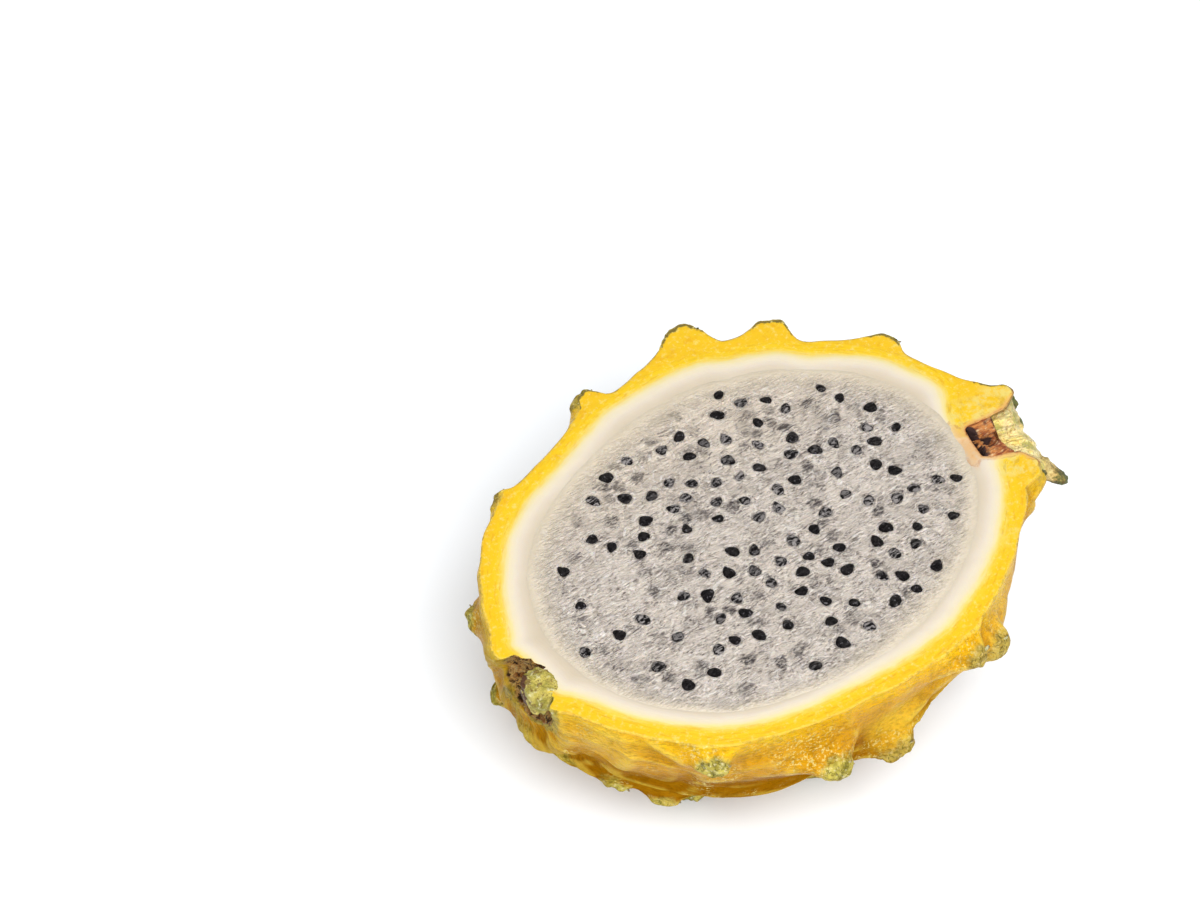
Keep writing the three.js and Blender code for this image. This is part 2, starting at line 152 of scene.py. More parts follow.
def unit(v):
    return v / np.maximum(np.linalg.norm(v, axis=-1, keepdims=True), 1e-9)


HASH_PRIMES = (73856093, 19349663, 83492791)
NOISE_VALUES = 4096


def noise(points, size, seed):
    """Value noise from -1 to 1: random values at the corners of cells of that size, smoothly blended."""
    table = np.random.RandomState(seed).uniform(-1, 1, NOISE_VALUES)
    q = points / size
    cell = np.floor(q).astype(np.int64)
    f = q - cell
    f = f * f * f * (f * (f * 6 - 15) + 10)
    total = np.zeros(points.shape[:-1])
    for corner in np.ndindex(2, 2, 2):
        x, y, z = np.moveaxis((cell + corner) * HASH_PRIMES, -1, 0)
        share_x, share_y, share_z = np.moveaxis(np.where(corner, f, 1 - f), -1, 0)
        total += share_x * share_y * share_z * table[(x ^ y ^ z) & (NOISE_VALUES - 1)]
    return total


def fractal(points, size, seed, octaves=3):
    """Sum of value noises, each half the size and half the height of the one before."""
    return sum(noise(points, size / 2 ** k, seed + k) / 2 ** k for k in range(octaves))


def stacked(*parts):
    return np.stack(np.broadcast_arrays(*parts), axis=-1).astype(float)


# ---------------------------------------------------------------- the fruit's form


def edge_radius(radii, around):
    """Closed Catmull-Rom curve through radii at equal angles."""
    radii = np.array(radii)
    n = len(radii)
    x = (around / (2 * np.pi)) % 1 * n
    i = np.floor(x).astype(int)
    t = x - i
    a, b, c, d = (radii[(i + k) % n] for k in (-1, 0, 1, 2))
    return 0.5 * (2 * b + (c - a) * t + (2 * a - 5 * b + 4 * c - d) * t ** 2
                  + (3 * b - a - 3 * c + d) * t ** 3)


def layer_point(radii, depth, around, below, inset=0.0):
    """Superellipse bowl: the edge radius shrinks with the cosine of "below" and the depth grows with its
    sine, each to the power 2 / FULLNESS."""
    power = 2 / FULLNESS
    radius = (edge_radius(radii, around) - inset) * np.maximum(0, np.cos(below)) ** power
    z = CUT_HEIGHT - (depth - inset) * np.maximum(0, np.sin(below)) ** power
    return stacked(*on_circle(around, radius), z)


def skin_point(around, below):
    return layer_point(SKIN_RADII, SKIN_DEPTH, around, below)


def skin_normal(around, below):
    """Outward direction from small steps around and below."""
    step = 1e-3
    low = np.maximum(below, 2 * step)
    along = skin_point(around + step, low) - skin_point(around - step, low)
    down = skin_point(around, low + step) - skin_point(around, low - step)
    return unit(np.cross(down, along))


def tubercle_list():
    """Each tubercle with its own axes: out of the skin, ahead to the blossom end along it, and aside."""
    rows = [(around, below, rise, width) for below, start, end, step, rise, width in TUBERCLE_ROWS
            for around in np.arange(start, end, step)]
    found = []
    for around, below, rise, width in TUBERCLES + rows:
        place = np.radians([around, below])
        at = skin_point(*place)
        out = skin_normal(*place)
        ahead = unit(np.array([1.0, 0, 0]) - out * out[0])
        found.append({"at": at, "out": out, "ahead": ahead, "aside": np.cross(out, ahead), "rise": rise,
                      "width": width, "around": place[0], "below": place[1]})
    return found


KNOBS = tubercle_list()


def knob_offset(knob, points):
    """How far points lie ahead of and aside from a tubercle, in shares of the usual width."""
    offset = points - knob["at"]
    return offset @ knob["ahead"] / knob["width"], offset @ knob["aside"] / knob["width"]


def knob_share(knob, points):
    """Distance from a tubercle's middle as a share of its reach at half height, and the angle there. Points
    more than 4 mm off its plane count as further away."""
    u, v = knob_offset(knob, points)
    reach = np.where(u > 0, HALF_WAY["ahead"], HALF_WAY["behind"])
    off_plane = np.maximum(np.abs((points - knob["at"]) @ knob["out"]) - 4.0, 0.0)
    return np.sqrt((u / reach) ** 2 + (v / HALF_WAY["aside"]) ** 2 + off_plane ** 2), np.arctan2(v, u)


def knob_height(knob, points):
    """Flat-topped bump rise / (1 + share^n), steep ahead and gentler behind, with a ridge behind it."""
    share, angle = knob_share(knob, points)
    u, v = knob_offset(knob, points)
    power = 5.3 + 0.9 * np.cos(angle)
    uneven = 1 + 0.07 * np.sin(3 * angle + knob["around"] * 9) + 0.05 * np.sin(5 * angle + knob["around"] * 5)
    bump = knob["rise"] / (1 + (share * uneven) ** power)
    tail = 0.16 * knob["rise"] * bell(v / 2.2) * smooth((-u - 1) / 4) * smooth((15 + u) / 10)
    return bump + tail * smooth((9 - share) / 3)


def foot_height(points):
    """Swelling of the skin round each tubercle: a Gaussian, longest towards the stem; the highest counts."""
    total = np.zeros(points.shape[:-1])
    for knob in KNOBS:
        u, v = knob_offset(knob, points)
        w = (points - knob["at"]) @ knob["out"] / 9.0
        reach = np.where(u > 0, FOOT["ahead"], FOOT["behind"])
        foot = FOOT["share"] * knob["rise"] * np.exp(-(u / reach) ** 2 - (v / FOOT["aside"]) ** 2 - w ** 2)
        total = np.maximum(total, foot)
    return total


def swell(around, below):
    """Slow swells of the skin: three sine waves that fade towards the middle of the back."""
    waves = (0.3 * np.sin(3 * around + 2 * below + 1.1) + 0.25 * np.sin(5 * around - 3 * below + 0.4)
             + 0.2 * np.sin(8 * around + 4 * below))
    return waves * np.cos(below)


def scar_collar(points):
    """Low ring round the stem's scar: a Gaussian across its radius."""
    centre = skin_point(*np.radians([SCAR_COLLAR["around"], SCAR_COLLAR["below"]]))
    away = np.linalg.norm(points - centre, axis=-1) - SCAR_COLLAR["radius"]
    return SCAR_COLLAR["rise"] * bell(away / SCAR_COLLAR["width"])


def lip_along(angle):
    """How far along the hollow's axis the lip lies, the same on both sides of the cut face."""
    turn = np.degrees(np.abs(np.arctan2(np.sin(angle), np.cos(angle))))
    degrees, lengths = zip(*LIP)
    return np.interp(turn, degrees, lengths)


def about_axis(along, radius, angle):
    """A point along the hollow's axis, at a radius and an angle about it."""
    radial = ACROSS * np.cos(angle)[..., None] + np.array([0, 0, -1.0]) * np.sin(angle)[..., None]
    return HOLLOW_MOUTH + AXIS * along[..., None] + radial * radius[..., None]


def blurred(t, knots, values, half_width=0.8):
    """Straight stretches between knots, with each corner rounded by a short running mean."""
    return sum(np.interp(t + half_width * k, knots, values) for k in (-1, -0.5, 0, 0.5, 1)) / 5


def crown_point(step, angle):
    """The blossom end's collar, lip and hollow: the crown's profile carried about the axis."""
    knots, radii, fixed, shares = (np.array(column, float) for column in zip(*CROWN_PROFILE))
    radius = blurred(step, knots, radii)
    share = blurred(step, knots, shares)
    along = blurred(step, knots, fixed) + share * lip_along(angle)
    return along, radius


# ---------------------------------------------------------------- peel: skin, rind and pith in one wall

COLUMNS = 640
BACK_ROWS = 124
CUT_ROWS = 20
LIP_COLUMNS = 27                       # columns on each side of the crown's middle that its lip takes up
FAR = 9.0                              # depth and distance given to points that the cut doesn't show
LINING_ROWS = 5
CROWN_SPAN = 14.5                      # radius about the hollow's axis that the crown's grid covers
HOLLOW_AROUND = math.atan2(HOLLOW_MOUTH[1] - 0.2, HOLLOW_MOUTH[0] + 6.5)      # the crown's middle
BACK_LENGTH = 68.0                     # from the edge of the cut face to the middle of the back
MEAN_RADIUS = 46.0
PER_RADIAN = {"round": 45.0, "down": 43.0}                    # of the angles round and down the back


def row_length(row):
    """Length down the back at a row: even near the edge, then growing."""
    fine = CROWN_SPAN / CROWN_STEPS
    rest = np.maximum(row - CROWN_STEPS, 0)
    left = BACK_LENGTH - CROWN_SPAN
    count = BACK_ROWS - CROWN_STEPS
    growth = (left - fine * count) / count ** 2
    return fine * row + growth * rest ** 2


def column_length(column):
    """Length round the edge from the crown's middle: even over the crown, and even over the rest."""
    half = COLUMNS / 2
    full = math.pi * SKIN_RADII[0]
    rest = (full - CROWN_SPAN) / (half - CROWN_STEPS)
    size = np.abs(column)
    return np.sign(column) * np.where(size < CROWN_STEPS, size * CROWN_SPAN / CROWN_STEPS,
                                      CROWN_SPAN + (size - CROWN_STEPS) * rest)


def below_at(length):
    """The angle below the edge at a length down the back, from a table of the bowl's profile."""
    angle = np.linspace(0, np.pi / 2, 2000)
    curve = layer_point([MEAN_RADIUS] * len(SKIN_RADII), SKIN_DEPTH, np.zeros(len(angle)), angle)
    run = np.concatenate([[0], np.cumsum(np.linalg.norm(np.diff(curve, axis=0), axis=1))])
    return np.interp(length, run * BACK_LENGTH / run[-1], angle)


def back_places():
    """Grid over the back. Rings of the grid become half circles round the hollow and straighten further out;
    lines crowd at tubercles and at the scar. Gives around, below, and each point's step and angle at the
    crown."""
    column = np.arange(COLUMNS)[None, :] - COLUMNS // 2
    row = np.arange(BACK_ROWS)[:, None]
    column, row = np.broadcast_arrays(column, row)
    step = np.maximum(np.abs(column), row).astype(float)
    run = np.where(column >= row, row, np.where(-column >= row, 4 * step - row, 2 * step - column))
    angle = np.pi * run / np.maximum(4 * step, 1e-9)
    straight = smooth((step - CROWN_STEPS) / 70.0)
    length = mix(column_length(step) * np.cos(angle), column_length(column), straight)
    down = mix(row_length(step) * np.sin(angle), row_length(row), straight)
    around = HOLLOW_AROUND + length / SKIN_RADII[0]
    below = below_at(down)
    free = smooth((step - CROWN_STEPS) / 30.0)
    pulls = [(knob["around"], knob["below"], 6.0 * knob["width"], 0.4) for knob in KNOBS]
    pulls.append((*np.radians(SCAR_MIDDLE), 9.0, 0.3))
    for centre, height, reach, share in pulls:
        turn = (around - centre + np.pi) % (2 * np.pi) - np.pi
        away = np.hypot(PER_RADIAN["round"] * turn * math.cos(height), PER_RADIAN["down"] * (below - height))
        pull = free * share * bell(away / reach)
        around = around - pull * turn
        below = below - pull * (below - height) * smooth(below / 0.2)
    return around, below, step, angle


ARC_RADIUS = 42.0


def lengthwise(points):
    """Coordinates for grain that runs from the stem to the blossom: along X, and the arc about it."""
    arc = np.arctan2(CUT_HEIGHT - points[..., 2], points[..., 1]) * ARC_RADIUS
    return points[..., 0], arc


def fold_lines(points):
    """Height of the drawn ridges and creases: a Gaussian across each line, fading out at its two ends."""
    flat = points.reshape(-1, 3)
    total = np.zeros(len(flat))
    for height, width, places in FOLD_LINES:
        knots = np.arange(len(places))
        t = np.linspace(0, len(places) - 1, 14 * len(places))
        around, below = (np.radians(np.interp(t, knots, column)) for column in zip(*places))
        line = skin_point(around, below)
        low, high = line.min(axis=0) - 3 * width, line.max(axis=0) + 3 * width
        near = np.flatnonzero(np.all((flat > low) & (flat < high), axis=1))
        gap = np.linalg.norm(flat[near, None, :] - line[None, :, :], axis=2)
        nearest = gap.argmin(axis=1)
        ends = np.sin(np.pi * (0.04 + 0.92 * t[nearest] / t[-1])) ** 0.7
        total[near] += height * ends * bell(gap.min(axis=1) / width)
    return total.reshape(points.shape[:-1])


def folds(points):
    """Soft drapes and finer wrinkles, drawn out lengthwise, drawn ridges and creases, and creases that fan
    out from each tubercle."""
    along, arc = lengthwise(points)
    bend = 3.0 * fractal(points, 18.0, 61, 2)
    drape = fractal(stacked(along / 3.2, arc + bend, points[..., 1] * 0.2), 8.5, 71, 2)
    height = 0.5 * (1 - np.abs(drape) * 1.7) + fold_lines(points)
    height += 0.12 * fractal(stacked(along / 4.5, arc + 0.6 * bend, 0 * along), 2.2, 81, 2)
    height += 0.22 * fractal(points, 5.0, 91, 2)
    for index, knob in enumerate(KNOBS):
        share, angle = knob_share(knob, points)
        near = smooth((share - 0.8) / 0.5) * smooth((3.4 - share) / 2.0)
        fan = noise(stacked(*on_circle(angle, 2.6), share * 0.5 + 7 * index), 1.0, 101)
        height += 0.07 * knob["rise"] * near * fan
    return height


def grid_normals(points):
    """Outward normals of the back's grid, from differences between neighbours round and down it."""
    round_it = np.roll(points, -1, axis=1) - np.roll(points, 1, axis=1)
    down_it = np.gradient(points, axis=0)
    return unit(np.cross(down_it, round_it))


def egg_front(points, egg, outwards):
    """X of an egg's surface on its +X or -X side at each point's Y and Z, and how deep inside its outline."""
    (x, y, z), (rx, ry, rz) = egg["at"], egg["reach"]
    inside = 1 - ((points[..., 1] - y) / ry) ** 2 - ((points[..., 2] - z) / rz) ** 2
    return x + outwards * rx * np.sqrt(np.maximum(inside, 0)), inside


def patches(points, places):
    """Soft round patches on the skin: the largest of bells of the distance from each place over its reach."""
    most = np.zeros(points.shape[:-1])
    for around, below, reach in places:
        centre = skin_point(*np.radians([around, below]))
        most = np.maximum(most, bell(np.linalg.norm(points - centre, axis=-1) / reach))
    return most


def scarred(points):
    """The stem's scar: the skin pushed in to the far side of one egg, then out over a smaller lump. Gives the
    points and the masks of brown scar, of olive tissue and of the lump."""
    rough = 0.6 * fractal(points, 2.4, 121, 3) + 0.7 * np.abs(fractal(points, 1.1, 123, 2))
    floor, inside = egg_front(points, SCAR_PIT, 1)
    pushed = np.maximum(points[..., 0], mix(points[..., 0], floor + rough, smooth(inside / 0.25)))
    near = points[..., 0] < -30
    result = points.copy()
    result[..., 0] = np.where(near & (inside > 0), pushed, points[..., 0])
    face, bulge = egg_front(points, SCAR_LUMP, -1)
    lump = np.minimum(result[..., 0], mix(result[..., 0], face + 0.6 * rough, smooth(bulge / 0.2)))
    result[..., 0] = np.where(near & (bulge > 0), lump, result[..., 0])
    olive = near * smooth((inside + 0.5) / 0.5) * (1 - 0.8 * smooth((points[..., 1] + 7) / 4))
    olive = np.maximum(olive, patches(points, OLIVE_PATCHES))
    lump = near * np.maximum(smooth((bulge + 0.25) / 0.4), 1.1 * patches(points, [(191, 1.5, 2.8)]))
    return result, near * smooth(inside / 0.3) * (1 - lump), olive, lump


def crown_surface(step, angle):
    """The crown, its lip and the hollow's wall made ragged by a noise. Gives the points and their lengths
    along the axis."""
    along, radius = crown_point(step, angle)
    ragged = fractal(stacked(*on_circle(angle, 5), radius * 0.35), 1.6, 131, 3)
    at_lip = bell((step - LIP_STEP) / 4.0)
    radius = radius + 0.3 * ragged * smooth((step - 6) / 8)
    return about_axis(along + 0.55 * at_lip * ragged, radius, angle), along


def tubercle_lift(base):
    """How far and which way the tubercles lift the skin, and how much of it is their tips."""
    lift = np.zeros(base.shape)
    tip = np.zeros(base.shape[:-1])
    for knob in KNOBS:
        lift += knob["out"] * knob_height(knob, base)[..., None]
        share, _ = knob_share(knob, base)
        tissue = 0.3 if knob["rise"] == LOW_RISE else 1.0
        tip = np.maximum(tip, tissue * smooth((1.4 - share) / 0.7))
    return lift, tip


def outer_face(around, below, step, angle):
    """The skin's outside: the bowl with its swells, the crown, the tubercles, the folds and the scar. What
    lifts the skin up or down fades out at the cut. Gives the points and the masks that its material reads."""
    level = stacked(1, 1, smooth(below / math.radians(6)))
    base = skin_point(around, below)
    foot = foot_height(base)
    rise = swell(around, below) + foot + scar_collar(base)
    base = base + skin_normal(around, below) * rise[..., None] * level
    crown, along = crown_surface(step, angle)
    points = mix(crown, base, smooth((step - COLLAR_STEP) / 9.0)[..., None])
    open_skin = 1 - smooth((OPEN_STEP - step) / 5.0)
    lift, tip = tubercle_lift(base)
    points = points + lift * level * mix(0.4, 1.0, open_skin)[..., None]
    fold = folds(base) * open_skin * (1 - 0.75 * tip)
    knobbly = 0.42 * fractal(points, 1.5, 141, 2) * tip
    wall = 0.4 * fractal(stacked(along * 0.35, *on_circle(angle, 9)), 1.8, 151, 3)
    rough = fold + knobbly + wall * (1 - open_skin)
    points, scar, olive, lump = scarred(points + grid_normals(points) * rough[..., None] * level)
    points[..., 2] = np.clip(points[..., 2], 0.0, CUT_HEIGHT)
    points[0, :, 2] = CUT_HEIGHT - 0.1
    hollow = 1 - smooth((step - HOLLOW_STEP) / 3.0)
    lip = smooth((LIP_END - step) / 4.0) * (1 - hollow)
    # Painted light on the large tubercles' sides, less painted shade between them.
    painted_light_and_shade = patches(points, LIT_PATCHES) - 0.8 * patches(points, SHADED_PATCHES)
    brink = lip * smooth((points[..., 2] - CUT_HEIGHT + 0.9) / 0.6)
    return points, base, {"tip": tip * open_skin, "hollow": hollow, "lip": lip, "scar": scar, "olive": olive,
                          "lump": lump, "painted_light_and_shade": painted_light_and_shade, "brink": brink, "arc": lengthwise(points)[1],
                          "foot": 0.16 * foot * open_skin}


def edge_of_flesh(around):
    return layer_point(FLESH_RADII, FLESH_DEPTH, around, np.zeros_like(around))


def flesh_places(rim_around):
    """Where each column starts on the flesh's edge: level with its place across the hollow's axis at the
    crown, and at the rim's own angle further round."""
    column = np.arange(COLUMNS) - COLUMNS // 2
    table = HOLLOW_AROUND + np.linspace(-0.6, 0.6, 400)
    side = (edge_of_flesh(table) - HOLLOW_MOUTH) @ ACROSS
    _, radius = crown_point(np.abs(column).astype(float), np.where(column < 0, np.pi, 0.0))
    level = np.interp(np.sign(column) * np.minimum(radius, CROWN_SPAN), side, table)
    drift = level - rim_around
    last = np.abs(column) <= CROWN_STEPS
    left, right = drift[last][0], drift[last][-1]
    fading = np.where(column < 0, left, right) * np.exp(-(np.abs(column) - CROWN_STEPS) / 40.0)
    return np.where(last, level, rim_around + fading)


def near_curve(points, curve):
    """Distance in plan from each point to the nearest point of a curve."""
    flat = points[..., :2].reshape(-1, 2)
    best = np.full(len(flat), 1e9)
    for piece in np.array_split(curve[:, :2], 16):
        gap = np.linalg.norm(flat[:, None, :] - piece[None, :, :], axis=2)
        best = np.minimum(best, gap.min(axis=1))
    return best.reshape(points.shape[:-1])


def clear_of_crown():
    """Which columns of the peel lie outside the hollow and its lip."""
    return np.abs(np.arange(COLUMNS) - COLUMNS // 2) > LIP_COLUMNS


def near_place(around, middle, reach):
    """A bell of the place around, with its middle and reach in degrees."""
    return bell((np.degrees(around) % 360 - middle) / reach)


def thin_pith(around):
    """Where the cream is narrow."""
    return near_place(around, 232, 34)


def thick_rind(inset, around):
    """Depth under the skin, less a hump over the depth times two bells of the place around, so that the
    yellow is wider near them, and more where the pith is thin."""
    wide = near_place(around, 158, 38) + near_place(around, 333, 20)
    inset = inset - 0.8 * wide * inset / 3 * np.exp(1 - inset / 3)
    return inset + 1.3 * thin_pith(around) * smooth((inset - 3.8) / 2.4)


def cut_face(rim, base_rim, around):
    """Flat band between the flesh's edge and the rim, straight across in each column."""
    start = edge_of_flesh(flesh_places(around))
    start = start + unit(start * [1, 1, 0]) * -0.5
    share = np.linspace(0, 1, CUT_ROWS + 1)[:-1, None, None]
    band = mix(start[None], rim[None], share)
    length = np.linalg.norm(rim - start, axis=1)
    last = 1 - np.minimum(0.3 / np.maximum(length, 1e-3), 0.04)
    band[-1] = mix(start, rim, last[:, None])
    waves = smooth((1 - share[..., 0]) * 5) * smooth(share[..., 0] * 4)
    band[..., 2] = CUT_HEIGHT + 0.05 * fractal(band, 2.5, 161, 2) * waves
    band[:2, :, 2] -= [[0.12], [0.06]]
    keep = clear_of_crown()
    pit = near_curve(band, rim[~keep])
    offset = band - HOLLOW_MOUTH
    upper = smooth((offset @ ACROSS + 1.5) / 4.0)
    beyond = np.maximum(np.hypot(band[..., 0], band[..., 1]) - np.hypot(*edge_xy(band)), 0.0)
    inset = mix(near_curve(band, base_rim[keep]), near_curve(band, base_rim), upper) - 2.5 * beyond
    inset = np.maximum(inset - 4.5 * upper * smooth((12 - pit) / 10.0), 0.0)
    inset = thick_rind(inset, around)
    pit = pit * mix(2.0, 0.6, smooth(-(offset @ AXIS) / 1.5))
    rind = np.linalg.norm(band - rim[None], axis=-1)
    return band, inset, pit, rind


def edge_xy(points):
    """The skin's edge on the cut face, in each point's direction from the middle."""
    around = np.arctan2(points[..., 1], points[..., 0])
    return on_circle(around, edge_radius(SKIN_RADII, around))


def lining_rows(start_around):
    """The hidden inside of the wall: the flesh's bowl, from the middle of the back up to the flesh's edge."""
    below = np.radians(np.linspace(80, 0, LINING_ROWS, endpoint=False))[:, None]
    return layer_point(FLESH_RADII, FLESH_DEPTH, start_around[None, :], below)


def tube_faces(rows, columns):
    """Quads between rows of points that close round on themselves, and a fan at either end to the cap points
    that follow the rows, the first row's first."""
    row, column = np.meshgrid(np.arange(rows - 1), np.arange(columns), indexing="ij")
    a = row * columns + column
    b = row * columns + (column + 1) % columns
    around = np.arange(columns)
    after = (around + 1) % columns
    end = (rows - 1) * columns
    first_cap = np.full(columns, rows * columns)
    return (np.stack([a, b, b + columns, a + columns], axis=-1).reshape(-1, 4).tolist()
            + np.stack([first_cap, after, around], axis=-1).tolist()
            + np.stack([first_cap + 1, end + around, end + after], axis=-1).tolist())


def many_tubes(blocks, rows, columns):
    """The faces of many equal tubes, each tube's two cap points straight after its rows."""
    size = rows * columns + 2
    return [[corner + block * size for corner in face] for block in range(blocks)
            for face in tube_faces(rows, columns)]


def make_piece(name, points, faces, materials, attributes=None, material_of=None):
    """A smooth-shaded mesh object from points in millimetres, with a float attribute for each mask."""
    mesh = bpy.data.meshes.new(name)
    mesh.from_pydata((np.asarray(points).reshape(-1, 3) * MM).tolist(), [], faces)
    mesh.polygons.foreach_set("use_smooth", np.ones(len(mesh.polygons), bool))
    for material in materials:
        mesh.materials.append(material)
    if material_of is not None:
        mesh.polygons.foreach_set("material_index", np.asarray(material_of, np.int32))
    for key, values in (attributes or {}).items():
        layer = mesh.attributes.new(key, "FLOAT", "POINT")
        layer.data.foreach_set("value", np.asarray(values, np.float32).ravel())
    mesh.update()
    piece = bpy.data.objects.new(name, mesh)
    bpy.context.scene.collection.objects.link(piece)
    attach(piece, "root")
    return piece


def creases(points, normals, reach=4):
    """How hollow the skin is at each point: its neighbours' mean height above it, in millimetres."""
    down = np.clip(np.arange(points.shape[0]) + reach, 0, points.shape[0] - 1)
    up = np.clip(np.arange(points.shape[0]) - reach, 0, points.shape[0] - 1)
    mean = (np.roll(points, reach, 1) + np.roll(points, -reach, 1) + points[down] + points[up]) / 4
    return np.sum((mean - points) * normals, axis=-1)


def make_peel(materials):
    """The wall of the fruit as one closed mesh: hidden lining, cut band, and the outside down to the floor.
    Gives the line of the skin's edge on the cut, without the crown's part of it."""
    around, below, step, angle = back_places()
    outside, base, masks = outer_face(around, below, step, angle)
    rim = outside[0].copy()
    rim[:, 2] = CUT_HEIGHT
    band, inset, pit, rind = cut_face(rim, base[0], around[0])
    lining = lining_rows(flesh_places(around[0]))
    rows = np.concatenate([lining, band, outside])
    caps = np.array([[0, 0, CUT_HEIGHT - FLESH_DEPTH], [0, 0, 0]])
    points = np.concatenate([rows.reshape(-1, 3), caps])
    count = rows.shape[0]
    faces = tube_faces(count, COLUMNS)
    before = lining.shape[0] + band.shape[0]

    def over_all(values, inner=0.0, cut=None):
        """A mask for every point, from its values on the outside and on the cut band. Unless given, the
        band's values are 0, and those of the skin's edge in its last row."""
        if cut is None:
            cut = np.zeros(band.shape[:2])
            cut[-1] = values[0]
        inside = np.full(lining.shape[:2], inner)
        return np.append(np.concatenate([inside, cut, values]).ravel(), [inner, 0.0])

    zero = np.zeros(outside.shape[:2])
    attributes = {name: over_all(values) for name, values in masks.items()}
    attributes["inset"] = over_all(zero, FAR, inset)
    attributes["pit_gap"] = over_all(zero + FAR, FAR, pit)
    attributes["tip"] = over_all(masks["tip"], 0.0, masks["tip"][:1] * smooth((0.75 - rind) / 0.6))
    attributes["crease"] = over_all(creases(outside, grid_normals(outside)))
    row_of = np.repeat(np.arange(count - 1), COLUMNS)
    cut_faces = (row_of >= lining.shape[0]) & (row_of < before - 1)
    material_of = np.concatenate([np.where(cut_faces, 1, 0), np.ones(COLUMNS), np.zeros(COLUMNS)])
    peel = make_piece("peel", points, faces, materials, attributes, material_of)
    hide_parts("skin", "pith")
    return base[0][clear_of_crown()]


# ---------------------------------------------------------------- pulp and seeds


def draw_from(start):
    """Random numbers from 0 to 1, the same each run: the generator that places the seeds' solids."""
    state = start

    def imul(a, b):
        return (a * b) & 0xFFFFFFFF

    def draw():
        nonlocal state
        state = (state + 0x6D2B79F5) & 0xFFFFFFFF
        t = imul(state ^ (state >> 15), 1 | state)
        t = ((t + imul(t ^ (t >> 7), 61 | t)) & 0xFFFFFFFF) ^ t
        return ((t ^ (t >> 14)) & 0xFFFFFFFF) / 4294967296

    return draw


def seed_places():
    """Throws over the cut flesh, kept where no other seed is near, and more rarely towards the pith."""
    draw = draw_from(DRAW)
    places = []
    while len(places) < SEEDS["count"]:
        around = 2 * math.pi * draw()
        share = math.sqrt(draw())
        chance = draw()
        edge = float(edge_radius(FLESH_RADII, np.array(around))) - SEEDS["margin"]
        x, y = edge * share * math.cos(around), edge * share * math.sin(around)
        apart = all(math.hypot(px - x, py - y) > SEEDS["spacing"] for px, py, _, _ in places)
        if apart and chance > share ** 8:
            places.append((x, y, 2 * math.pi * draw(), 0.85 + 0.3 * draw()))
    return np.array(places)


def sunken_places(seeds):
    """Seeds below the surface: seeded throws over the flesh, a little clear of the bare ones."""
    random = np.random.RandomState(41)
    found = []
    while len(found) < SUNKEN_SEEDS["count"]:
        around, share = random.uniform(0, 2 * np.pi), math.sqrt(random.uniform())
        edge = float(edge_radius(FLESH_RADII, np.array(around))) - SUNKEN_SEEDS["margin"]
        place = np.array([edge * share * math.cos(around), edge * share * math.sin(around)])
        turn, depth = random.uniform(0, 2 * np.pi), random.uniform(0.15, 1.0)
        if np.hypot(*(seeds[:, :2] - place).T).min() > SUNKEN_SEEDS["spacing"]:
            found.append([*place, turn, depth])
    return np.array(found)


def teardrop(points, x, y, turn, length, width):
    """How deep inside a teardrop outline each point is: 1 at its middle and 0 at its edge, less outside."""
    a, b = turned(points[..., 0] - x, points[..., 1] - y, turn)
    return 1 - np.hypot(a / (length / 2), b / (width / 2) * (1 + 0.28 * a / (length / 2)))


def disc_grid(count):
    """Square grid bent into a disc with even cells: share of the radius, and angle, of each point."""
    s = np.linspace(-1, 1, count)
    x, y = np.meshgrid(s, s, indexing="ij")
    wide = np.abs(x) > np.abs(y)
    radius = np.where(wide, x, y)
    with np.errstate(divide="ignore", invalid="ignore"):
        angle = np.where(wide, np.pi / 4 * (y / x), np.pi / 2 - np.pi / 4 * (x / y))
    angle = np.nan_to_num(angle)
    return np.abs(radius), np.arctan2(radius * np.sin(angle), radius * np.cos(angle))


PULP_CELLS = 264
BOWL_GAP = 0.4                         # between the pulp's bowl and the wall's lining


def fibres(plan, seed, count=3600):
    """Short fibres strewn over the flesh: each a Gaussian ridge or groove, long one way and slightly bent.
    Neighbours lie roughly alike, because their directions follow a slow noise."""
    random = np.random.RandomState(seed)
    at = random.uniform(-46, 46, (count, 2))
    turn = 3.2 * fractal(stacked(at[:, 0], at[:, 1], 0), 13.0, seed, 2) + random.normal(0, 0.45, count)
    length, width = random.uniform(0.6, 1.6, count), random.uniform(0.14, 0.26, count)
    bend, height = random.uniform(-0.12, 0.12, count), random.choice([1.0, 0.8, -0.8], count)
    flat = plan[..., :2].reshape(-1, 2)
    total = np.zeros(len(flat))
    for k in np.argsort(at[:, 0]):
        near = np.flatnonzero((np.abs(flat[:, 0] - at[k, 0]) < 5) & (np.abs(flat[:, 1] - at[k, 1]) < 5))
        a, b = turned(*(flat[near] - at[k]).T, turn[k])
        total[near] += height[k] * bell(a / length[k]) * bell((b + bend[k] * a ** 2) / width[k])
    return total.reshape(plan.shape[:-1])


